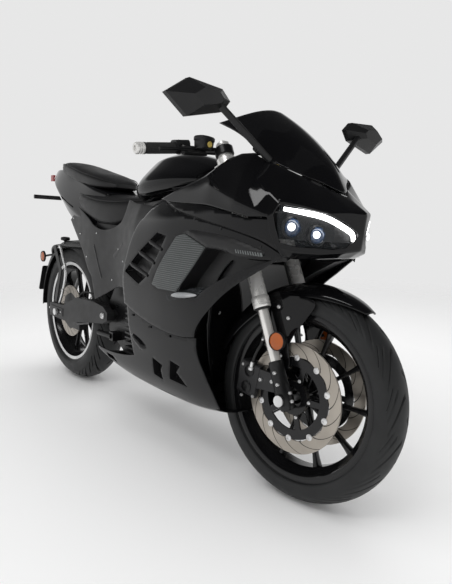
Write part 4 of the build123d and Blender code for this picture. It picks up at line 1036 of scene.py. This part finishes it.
# The legs are upright up to a height, and lean in over the tyre above it
LEG_HALF, LEAN_IN_FROM, LEAN_IN = 71.5, 470, 0.00054
points = [(v.x, LEAN_IN * max(v.y - LEAN_IN_FROM, 0) ** 2 - LEG_HALF, v.y) for v in verts]
mudguard_legs = shown("mudguard_legs", mesh_of("mudguard_legs", points, outwards(points, faces)),
                      "steering", "gloss_black")
mirror(soften(sheet(mudguard_legs, 4), 1.0))
for x, z in ((650, 400), (652, 440), (664, 506), (628, 532)):
    fork_bolts.add((x, -72, z), (0, -1, 0), 5.5, 3.5, both=True)

# Amber reflectors in black rings
REFLECTOR, REFLECTOR_OUT = (668, -113, 446), (668, -114, 446)
mirror(lathe("reflector_rings", [(23, 5), (23.4, 8.6), (24.8, 8.8), (25.5, 7), (25.5, 0)], "steering",
             "black_plastic", REFLECTOR, REFLECTOR_OUT, segments=64))
dome = []
for k in range(7):
    r = 23.4 * (1 - k / 6)
    dome.append((r, 6.6 + 2.0 * (1 - (r / 23.4) ** 2)))
mirror(lathe("reflector_domes", dome, "steering", "amber", REFLECTOR, REFLECTOR_OUT, segments=12,
             smooth_angle=1, replaces=("fork_reflectors",)))
mirror(tube("reflector_arms", [(630, -102, 446), (650, -108, 446), (664, -112, 446)], 4, "steering",
            "frame_black"))

# Hoses from the bars to the calipers, with their fittings
mirror(tube("brake_hoses", [(566, -90, 352), (576, -92, 392), (600, -86, 432), (582, -74, 520),
                            (540, -68, 620), (500, -70, 700)], 4.0, "steering", "rubber_black"))
mirror(lathe("hose_fittings", [(0.1, -3), (8, -3), (8, 4), (5.5, 5), (5.5, 20), (4.4, 22)], "steering",
             "steel", (564, -89, 346), (572, -91, 380), segments=12, smooth_angle=20))
mirror(tube("hose_clips", [(596, -80, 446), (596, -88, 440), (600, -94, 436)], 3.2, "steering", "steel"))

# Grips, bar ends, levers, reservoirs
GRIP_IN, GRIP_OUT = (285, -182, 958), (266, -300, 937)
profile = [(11, -1), (18.5, -1), (19, 2), (18.5, 6), (15.6, 8)]
for k in range(16):
    at = 12.0 + 6.0 * k
    profile += [(15.4, at), (16.5, at + 0.8), (16.5, at + 3.4), (15.4, at + 4.2)]
profile += [(16.4, 115), (17.2, 118), (12, 119.2)]
mirror(lathe("ribbed_grips", profile, "steering", "rubber_black", GRIP_IN, GRIP_OUT, segments=32,
             replaces=("grips",)))
mirror(lathe(
    "bar_end_weights",
    [(11, 119), (15, 119), (17, 121), (17, 126), (15.6, 127), (15.6, 129), (17, 130), (17, 134),
     (15.6, 135), (15.6, 137), (17, 138), (17, 142), (15, 145.5), (8, 146), (7, 142), (0.1, 142)],
    "steering", "aluminium", GRIP_IN, GRIP_OUT, segments=48, replaces=("bar_ends",),
))
mirror(lathe("grip_collars", [(12, -14), (18, -14), (19, -12), (19, -3), (18, -1), (12, -1)], "steering",
             "aluminium", GRIP_IN, GRIP_OUT, segments=48))
bar_root = leg(732)
mirror(tube("clip_on_bars", [bar_root, (312, -150, 957), (292, -172, 959), GRIP_IN, (276, -240, 948)], 11,
            "steering", "frame_black", replaces=("handlebars",)))
mirror(lathe("clip_on_clamps", [(21.5, 719), (26, 719), (28, 721), (28, 743), (26, 745), (21.5, 745)],
             "steering", "frame_black", LEG_FOOT, LEG_TOP, segments=48))
mirror(tube("lever_blades", [(338, -168, 952), (340, -190, 950), (346, -226, 944), (344, -262, 939),
                             (336, -296, 934)],
            6.0, "steering", "frame_black", taper=(1.15, 1.1, 0.9, 0.75, 0.8), replaces=("levers",)))
RESERVOIR = (365, -158)
with_lid = []
for z, half_x, half_y in ((954, 19, 23), (958, 23, 27), (976, 24, 28), (979, 26, 30), (987, 26, 30),
                          (990, 23, 27)):
    with_lid.append([(RESERVOIR[0] + half_x * u, RESERVOIR[1] + half_y * v, z) for u, v in octagon()])
mirror(loft("reservoirs", with_lid, "steering", "black_plastic", rings=(0, 2, 3, 4, 5), levels=2,
            replaces=("master_cylinders",)))
mirror(lathe("reservoir_windows", [(8.5, 0), (8.5, 1.5), (6.5, 1.6), (6.4, 0.9), (0.1, 0.9)], "steering",
             "window", (389, -158, 967), (390, -158, 967), segments=32))
mirror(tube("lever_brackets", [(340, -125, 955), (338, -160, 950), (330, -205, 945)], 13, "steering",
            "black_plastic"))
for dx, dy in ((-13, -18), (13, 18)):
    fork_bolts.add((RESERVOIR[0] + dx, RESERVOIR[1] + dy, 990), (0, 0, 1), 3.2, 1.2, both=True)
mirror(lathe("switch_buttons", [(6, 0), (6, 3), (5, 4), (0.1, 4)], "steering", "matte_grey",
             (274, -178, 978), (270, -178, 984), segments=24))

# Fork tops and the middle of the upper clamp
mirror(lathe("fork_caps", [(20, 0), (20, 5), (17, 7), (11, 7), (11, 12), (9, 13), (0.1, 13)], "steering",
             "aluminium", leg(752), leg(790), segments=48))
head = (795 - 905 * 0.4663, 0, 905)
lathe("stem_nut", [(19, 14), (19, 20), (16, 22), (9, 22), (8, 16), (0.1, 16)], "steering", "aluminium",
      head, (head[0] - 42.26, 0, head[2] + 90.63), segments=48)

for name, width in (("triple_clamps", 2.0), ("switchgear", 2.0), ("front_calipers", 2.0), ("mirrors", 2.5),
                    ("instrument_display", 2.0)):
    soften(nodes[name], width, segments=3)

# Panel behind the front wheel. Columns: z, x in the middle, half width
ARCH_CURL = 34  # how far forward the panel's sides come
rows = []
for z, x, half in ((250, 372, 96), (300, 380, 116), (380, 392, 142), (460, 408, 160), (540, 432, 172),
                   (610, 470, 178), (660, 520, 176)):
    rows.append([(x + ARCH_CURL * (abs(u) ** 2.5), half * u,
                  z) for u in (-1, -0.75, -0.5, -0.2, 0, 0.2, 0.5, 0.75, 1)])
sheet(loft("wheel_arch_panel", rows, "frame", "gloss_black", closed=False, levels=1), 3)
for x, y, z in ((430, -106, 489), (418, -31, 497)):
    frame_bolts.add((x, y, z), (1, -0.25, 0.1), 6, 4)
    frame_bolts.add((x, -y, z), (1, 0.25, 0.1), 6, 4)

# Indicators let into the fairing's flanks. Columns: x, z, half height, how far it stands out
sections = []
for x, z, high, out in ((343, 534, 3, 2), (352, 536, 8, 7), (380, 540, 11, 12), (407, 543, 11, 13),
                        (436, 547, 8, 9), (458, 549, 3, 2)):
    y = -upper_skin.width(x, z)
    sections.append([(x, y + 2, z - high), (x, y - out * 0.7, z - high * 0.7), (x, y - out, z),
                     (x, y - out * 0.7, z + high * 0.7), (x, y + 2, z + high)])
mirror(loft("indicator_glass", sections, "frame", "indicator_clear", levels=2, slot="clear_lens"))

# Ribs of the fairing's insert, painted a lighter grey than the insert as highlight along each rib
points, faces = [], []
outline = [Vector(p) for p in INSERT]
zs = [p.y for p in outline]
RIB_STEP, RIB_MARGIN = 6.0, 4
z = min(zs) + RIB_MARGIN
while z < max(zs) - 3:
    cuts = []
    for i, b in enumerate(outline):
        a = outline[i - 1]
        if (a.y > z) != (b.y > z):
            cuts.append(a.x + (b.x - a.x) * (z - a.y) / (b.y - a.y))
    if len(cuts) >= 2:
        low, high = min(cuts) + RIB_MARGIN, max(cuts) - RIB_MARGIN
        steps = max(3, int((high - low) / 12))
        if high - low > 8:
            start = len(points)
            for s in range(steps + 1):
                x = low + (high - low) * s / steps
                for rise, out in ((-1.3, -0.5), (0, 1.1), (1.3, -0.5)):
                    points.append(upper_skin.point(x, z + rise, 1.0 + out))
            faces += bands(steps + 1, 3, closed=False, start=start)
    z += RIB_STEP
mirror(shown("insert_ribs", mesh_of("insert_ribs", points, faces), "frame", "rib_highlight_grey", slot="carbon"))
points, faces = [], []
# Ribs of the scoop's lip, painted the same lighter grey as highlight
LIP_RIBS, LIP_RIB_START, LIP_RIB_STEP = 11, 600, 7
for k in range(LIP_RIBS):
    x = LIP_RIB_START + LIP_RIB_STEP * k
    start = len(points)
    for dz in (-5, 4.5):
        for dx, out in ((0, 6.0), (1.2, 10.0), (3.0, 10.0), (4.2, 6.0)):
            points.append(upper_skin.point(x + dx - dz * 0.25, 684 + dz - (x - LIP_RIB_START) * 0.05, out))
    faces += bands(2, 4, closed=False, start=start)
mirror(shown("lip_ribs", mesh_of("lip_ribs", points, faces), "frame", "rib_highlight_grey", slot="carbon"))


# Tank, seats and tail
def crowned(x, half, low, high):
    """Right half of a cushion's section, from its top down."""
    deep = high - low
    return [(x, -y, z) for y, z in (
        (0, high), (half * 0.42, high - deep * 0.02), (half * 0.74, high - deep * 0.09),
        (half * 0.94, high - deep * 0.26), (half, high - deep * 0.48), (half * 0.985, low + deep * 0.18),
        (half * 0.93, low + deep * 0.06), (half * 0.8, low), (half * 0.4, low),
    )]


def both_halves(right):
    return right + [(x, -y, z) for x, y, z in right[::-1] if abs(y) > 1e-6]


# Columns: x, half width, bottom z, top z
RIDER_ROWS = (
    (-60, 58, 792, 830), (-68, 66, 784, 833), (-120, 94, 752, 841), (-200, 129, 718, 842),
    (-330, 141, 723, 849), (-450, 135, 763, 861), (-520, 119, 796, 864), (-540, 110, 808, 863),
    (-544, 104, 812, 858),
)
PILLION_ROWS = (
    (-332, 44, 874, 892), (-340, 56, 870, 899), (-375, 84, 869, 913), (-430, 98, 870, 932),
    (-500, 103, 873, 945), (-650, 96, 907, 979), (-740, 84, 932, 996), (-800, 73, 947, 1001),
    (-838, 54, 960, 991), (-848, 42, 965, 984),
)
rider = loft("rider_cushion", [both_halves(crowned(*row)) for row in RIDER_ROWS], "frame", "seat_black",
             levels=2, rings=((0, 0.5), (-1, 0.5)), crease=((7, 0.5), (10, 0.5)), replaces=("rider_seat",))
pillion = loft("pillion_cushion", [both_halves(crowned(*row)) for row in PILLION_ROWS], "frame",
               "seat_black", levels=2, rings=((0, 0.5), (-1, 0.5)), crease=((7, 0.5), (10, 0.5)),
               replaces=("pillion_seat",))
for name, rows in (("rider_piping", RIDER_ROWS), ("pillion_piping", PILLION_ROWS)):
    path = [(x, -half * 0.955, high - (high - low) * 0.235) for x, half, low, high in rows[1:-1]]
    mirror(tube(name, path, 1.7, "frame", "seat_black", resolution=4))


# Dark trays under the rider's seat and under the tank
def tray(name, rows):
    """Closed box through rows of (x, half width, bottom z, top z)."""
    sections = [[(x, -half, top), (x, -half, low), (x, half, low), (x, half, top)] for x, half, low,
                top in rows]
    return soften(loft(name, sections, "frame", "black_plastic", levels=0), 2.0)


tray("seat_tray", [(x, half * 0.86, low - 44, low + 8) for x, half, low, high in RIDER_ROWS[2:7]])
tray("tank_tray", [(-52, 84, 742, 812), (60, 118, 742, 815), (200, 122, 748, 832), (296, 104, 770, 858)])

# Columns: x, then the right side's (half width, z) from the top down
TANK_ROWS = (
    (-54, (0, 926), (34, 924), (60, 912), (96, 862), (99, 838), (91, 806)),
    (-40, (0, 944), (40, 942), (70, 926), (118, 874), (122, 842), (108, 803)),
    (0, (0, 968), (42, 966), (76, 950), (142, 884), (151, 858), (138, 803)),
    (80, (0, 988), (44, 986), (86, 966), (164, 898), (171, 874), (158, 808)),
    (200, (0, 980), (42, 978), (82, 960), (154, 906), (161, 884), (150, 824)),
    (300, (0, 946), (38, 944), (74, 930), (126, 900), (132, 884), (124, 850)),
    (316, (0, 935), (34, 933), (66, 922), (118, 896), (127, 884), (118, 853)),
)
tank_sections = []
for x, *row in TANK_ROWS:
    tank_sections.append(both_halves([(x, -y, z) for y, z in row]))
loft("tank_shell", tank_sections, "frame", "gloss_black", levels=3,
     crease=((2, 0.75), (4, 0.6), (8, 0.75), (6, 0.6)), rings=((0, 0.7), (-1, 0.7)),
     replaces=("tank_cover",))
lathe("charge_cap", [(30, -4), (30, 2), (27, 4), (22, 4), (21, 2.5), (8, 2.5), (7, 4), (0.1, 4)], "frame",
      "steel", (110, 0, 985), (109, 0, 1000), segments=64)

# Columns as for the tank
TAIL_ROWS = (
    (-302, (40, 848), (98, 846), (108, 800), (117, 724), (96, 702)),
    (-380, (40, 864), (104, 862), (116, 812), (126, 732), (104, 694)),
    (-450, (40, 880), (108, 876), (120, 820), (133, 741), (110, 691)),
    (-600, (34, 920), (88, 916), (110, 862), (129, 791), (104, 725)),
    (-750, (28, 957), (74, 953), (94, 908), (111, 850), (84, 801)),
    (-880, (20, 973), (54, 970), (68, 944), (81, 907), (50, 875)),
    (-985, (8, 960), (22, 958), (26, 950), (28, 936), (14, 926)),
    (-998, (5, 957), (15, 955), (18, 948), (20, 937), (10, 929)),
)
tail_sections = [both_halves([(x, -y, z) for y, z in row]) for x, *row in TAIL_ROWS]
loft("tail_shell", tail_sections, "frame", "gloss_black", levels=3,
     crease=((1, 0.85), (3, 0.85), (4, 0.7), (8, 0.85), (6, 0.85), (5, 0.7)), rings=((0, 0.8), (-1, 0.8)),
     replaces=("tail_fairing",))

# Drive chain: plates and rollers round the two sprockets
near, far = Vector((-200, 366)), Vector((-AXLE_X, REAR_RADIUS))
CHAIN_PITCH, CHAIN_SIDE, CHAIN_LIFT, PLATE_HALF = 15.875, 84, 5, 4.6
small, large = 32.0 + CHAIN_LIFT, 92.0 + CHAIN_LIFT
gap = (near - far).length
tilt = math.asin((large - small) / gap)
line_angle = math.atan2(near.y - far.y, near.x - far.x)
track = []
for k in range(13):
    a = line_angle - math.pi / 2 + tilt + (math.pi - 2 * tilt) * k / 12
    track.append(near + Vector((math.cos(a), math.sin(a))) * small)
for k in range(25):
    a = line_angle + math.pi / 2 - tilt + (math.pi + 2 * tilt) * k / 24
    track.append(far + Vector((math.cos(a), math.sin(a))) * large)
lengths = [0.0]
for a, b in zip(track, track[1:] + track[:1]):
    lengths.append(lengths[-1] + (b - a).length)
count = 2 * round(lengths[-1] / CHAIN_PITCH / 2)
pitch = lengths[-1] / count


def on_track(distance):
    distance %= lengths[-1]
    k = max(i for i, d in enumerate(lengths[:-1]) if d <= distance)
    a, b = track[k], track[(k + 1) % len(track)]
    return a.lerp(b, (distance - lengths[k]) / max(lengths[k + 1] - lengths[k], 1e-6))


points, faces = [], []
for k in range(count):
    a, b = on_track(k * pitch), on_track((k + 1) * pitch)
    run = (b - a).normalized()
    square = Vector((-run.y, run.x))
    for side in (-1, 1):
        inner = CHAIN_SIDE + side * (4.6 if k % 2 else 6.0)
        outline = []
        for centre, sign in ((a, -1), (b, 1)):
            for step in range(5):
                turn = math.pi * (step / 4) - math.pi / 2
                across = run * (sign * PLATE_HALF * math.cos(turn))
                outline.append(centre + across + square * (PLATE_HALF * math.sin(turn) * sign))
            if sign < 0:
                outline.append((a + b) / 2 - square * -3.0)
        outline.append((a + b) / 2 - square * 3.0)
        start = len(points)
        n = len(outline)
        for y in (inner - 0.6, inner + 0.6):
            points += [(p.x, y, p.y) for p in outline]
        faces.append(tuple(start + i for i in range(n)))
        faces.append(tuple(start + n + i for i in range(n))[::-1])
        faces += bands(2, n, start=start)
shown("chain_plates", mesh_of("chain_plates", points, faces, smooth=False), "frame", "chain_steel",
      replaces=("chain",))
points, faces = [], []
for k in range(count):
    a = on_track(k * pitch)
    start = len(points)
    for y in (CHAIN_SIDE - 6.8, CHAIN_SIDE + 6.8):
        for i in range(8):
            turn = 2 * math.pi * i / 8
            points.append((a.x + 2.4 * math.cos(turn), y, a.y + 2.4 * math.sin(turn)))
    faces += bands(2, 8, start=start)
    faces += [tuple(start + i for i in range(8)), tuple(start + 8 + i for i in range(8))[::-1]]
shown("chain_pins", mesh_of("chain_pins", points, faces), "frame", "steel", slot="chain_steel")

# Rear suspension, swingarm's ends, and the covers' fasteners
COIL_TURNS, COIL_POINTS, COIL_RADIUS = 7.5, 120, 20.5
coil = []
foot, top = Vector((-346, 0, 382)), Vector((-330, 0, 600))
axis = (top - foot).normalized()
side_way = axis.orthogonal().normalized()
other_way = axis.cross(side_way)
for k in range(COIL_POINTS):
    share = k / (COIL_POINTS - 1)
    turn = 2 * math.pi * COIL_TURNS * share
    outward = (side_way * math.cos(turn) + other_way * math.sin(turn)) * COIL_RADIUS
    coil.append(foot + axis * (66 + 138 * share) + outward)
tube("shock_coil", coil, 4.8, "frame", "matte_grey", resolution=2)
lathe("shock_damper", [(8, 0), (14, 2), (14, 60), (25, 62), (25, 66), (12, 67), (12, 140), (13, 203),
                       (25, 204), (25, 209), (14, 211), (14, 217), (6, 218)], "frame", "steel", foot, top,
      segments=32, replaces=("rear_shock",), slot="frame_black")
ADJUSTER_FACE = -130.5
plate = rounded([(-780, 300), (-640, 300), (-640, 336), (-780, 336)], sharp=range(4), step=20)
verts, faces = flat_grid(plate, step=30)
points = [(v.x, ADJUSTER_FACE, v.y) for v in verts]
adjuster = shown("axle_adjusters", mesh_of("axle_adjusters", points, outwards(points, faces)), "frame",
                 "case_black")
mirror(soften(sheet(adjuster, 5), 1.2))
mirror(lathe("adjuster_screws", [(4, -30), (4, 16), (7.5, 16), (7.5, 22), (6, 23), (0.1, 23)], "frame",
             "steel", (-792, -114, 316), (-800, -114, 316), segments=12, smooth_angle=20))
for x, z in ((-730, 318), (-660, 318)):
    frame_bolts.add((x, ADJUSTER_FACE, z), (0, -1, 0), 4, 3, both=True)
for x, y, z in ((86, 195, 431), (201, 200, 411), (313, 199, 402)):
    black_bolts.add((x, -y - 2.5, z), (0, -1, 0), 4.5, 2.0, both=True)
for x, z in ((-560, 742), (-470, 680), (-395, 590), (-300, 690), (-170, 520), (-110, 640), (-60, 600),
             (20, 590)):
    frame_bolts.add(cover_skin.point(x, z, 0.4), (0, -1, 0.1), 3.4, 1.8, both=True)
for x, z in ((664, 700), (540, 740), (430, 762), (330, 784)):
    black_bolts.add(upper_skin.point(x, z, 0.6), (0, -1, 0.2), 4.0, 1.6, both=True)
frame_bolts.add((-262, -128, 366), (0, -1, 0), 13, 7, both=True)

# Rear mudguard's lamp, side reflectors, stays and rail
SIDE_REFLECTOR, SIDE_REFLECTOR_OUT = (-980, -84, 545), (-980, -85, 545)
lathe("rear_lamp", [(6, -2), (6, 16), (9, 19), (19, 21), (21, 24), (21, 31), (18, 35), (10, 37),
                    (0.1, 37.5)], "frame",
      "black_plastic", (-760, -70, 616), (-760, -70, 640), segments=48, slot="black_plastic")
mirror(lathe("side_reflector_rings", [(22, 5), (23, 8), (26, 8), (27, 6), (27, 0), (0.1, 0)], "frame",
             "black_plastic", SIDE_REFLECTOR, SIDE_REFLECTOR_OUT, segments=48))
mirror(lathe("side_reflector_lenses", [(22.5, 6), (20, 8), (10, 9.4), (0.1, 9.8)], "frame", "amber",
             SIDE_REFLECTOR, SIDE_REFLECTOR_OUT, segments=12, smooth_angle=1))
mirror(tube("side_reflector_arms", [SIDE_REFLECTOR_OUT, (-945, -80, 552), (-905, -66, 560)], 5, "frame",
            "black_plastic"))
mirror(tube("mudguard_rails", [(-905, -66, 560), (-880, -88, 598), (-760, -92, 614), (-600, -94, 622),
                               (-500, -90, 626)],
            7, "frame", "black_plastic"))
mirror(tube("mudguard_stays", [(-743, -100, 608), (-705, -104, 560), (-667, -104, 506), (-690, -106, 413),
                               (-720, -110, 350)],
            6, "frame", "steel", slot="chain_steel"))
for at in ((-743, -104, 608), (-667, -108, 506), (-690, -110, 413)):
    frame_bolts.add(at, (0, -1, 0), 8, 5, both=True)
mirror(tube("rear_hoses", [(-600, -84, 292), (-560, -98, 330), (-520, -104, 420), (-450, -104, 440),
                           (-380, -100, 430)],
            4, "frame", "rubber_black"))

for name, width in (
    ("swingarm", 3.0), ("rear_hugger", 1.0), ("number_plate", 0.5), ("plate_bracket", 1.0),
    ("rear_caliper", 2.5), ("motor_block", 3.0), ("battery_case", 1.2), ("main_frame", 1.5),
    ("footrests", 1.5), ("side_stand", 1.5), ("rear_indicators", 1.5),
):
    soften(nodes[name], width)
frame_bolts.done()
fork_bolts.done()
black_bolts.done()

# Stage, lights and camera. The floor fades into the backdrop between two distances from the bike
BACKDROP = grey(0.80)
FADE_START, FADE_END = 1.6, 4.0
floor_mesh = bpy.data.meshes.new("floor")
FLOOR_HALF = 9
floor_mesh.from_pydata(
    [(x * FLOOR_HALF, y * FLOOR_HALF, 0) for x, y in ((-1, -1), (1, -1), (1, 1), (-1, 1))], [],
    [(0, 1, 2, 3)]
)
floor = bpy.data.objects.new("floor", floor_mesh)
scene.collection.objects.link(floor)
floor_material, tree, shader = new_material("studio_floor")
shader.inputs["Base Color"].default_value = grey(0.87)
shader.inputs["Roughness"].default_value = 0.9
shader.inputs["Specular IOR Level"].default_value = 0.1
position = tree.nodes.new("ShaderNodeTexCoord").outputs["Object"]
distance = tree.nodes.new("ShaderNodeVectorMath")
distance.operation = "LENGTH"
tree.links.new(position, distance.inputs[0])
fade = tree.nodes.new("ShaderNodeMapRange")
fade.inputs["From Min"].default_value = FADE_START
fade.inputs["From Max"].default_value = FADE_END
tree.links.new(distance.outputs["Value"], fade.inputs["Value"])
clear = tree.nodes.new("ShaderNodeBsdfTransparent")
blend = tree.nodes.new("ShaderNodeMixShader")
tree.links.new(fade.outputs["Result"], blend.inputs["Fac"])
tree.links.new(shader.outputs["BSDF"], blend.inputs[1])
tree.links.new(clear.outputs["BSDF"], blend.inputs[2])
tree.links.new(blend.outputs["Shader"], tree.nodes["Material Output"].inputs["Surface"])
floor_mesh.materials.append(floor_material)

world = bpy.data.worlds.new("studio")
scene.world = world
world.use_nodes = True
tree = world.node_tree
background = tree.nodes["Background"]
direction = tree.nodes.new("ShaderNodeTexCoord").outputs["Generated"]
parts_of = tree.nodes.new("ShaderNodeSeparateXYZ")
tree.links.new(direction, parts_of.inputs["Vector"])
# What glossy surfaces mirror: the same pale backdrop, and the studio's dark ceiling above it
room = ramp(
    tree, parts_of.outputs["Z"],
    [(0.0, BACKDROP), (0.33, BACKDROP), (0.40, grey(0.13)), (0.6, grey(0.05)), (1.0, grey(0.03))],
)
path = tree.nodes.new("ShaderNodeLightPath")
seen = tree.nodes.new("ShaderNodeMix")
seen.data_type = "RGBA"
seen.inputs["A"].default_value = BACKDROP
tree.links.new(room.outputs["Color"], seen.inputs["B"])
tree.links.new(path.outputs["Is Glossy Ray"], seen.inputs["Factor"])
tree.links.new(seen.outputs["Result"], background.inputs["Color"])


def softbox(name, location, target, size, power):
    light = bpy.data.lights.new(name, "AREA")
    light.shape = "RECTANGLE"
    light.size, light.size_y = size
    light.energy = power
    lamp = bpy.data.objects.new(name, light)
    lamp.location = location
    aim = Vector(target) - Vector(location)
    lamp.rotation_euler = aim.to_track_quat("-Z", "Y").to_euler()
    scene.collection.objects.link(lamp)
    return lamp


ceiling = softbox("ceiling", (0.3, -0.3, 3.2), (0.3, -0.3, 0), (4.4, 3.6), 34)
ceiling.visible_glossy = False
softbox("key", (0.9, -1.9, 2.7), (0.1, 0, 0.5), (1.8, 0.35), 14)
rim = softbox("rim", (-0.6, 2.3, 2.0), (0, 0, 0.7), (2.2, 0.4), 10)
rim.visible_glossy = False

LENS, CAMERA_PLACE, CAMERA_TARGET = 33.42, (1.694, -1.144, 0.830), (0.409, -0.073, 0.543)
camera_data = bpy.data.cameras.new("camera")
camera_data.lens = LENS
camera = bpy.data.objects.new("camera", camera_data)
camera.location = CAMERA_PLACE
aim = Vector(CAMERA_TARGET) - camera.location
camera.rotation_euler = aim.to_track_quat("-Z", "Y").to_euler()
scene.collection.objects.link(camera)
scene.camera = camera
scene.view_settings.view_transform = "Standard"
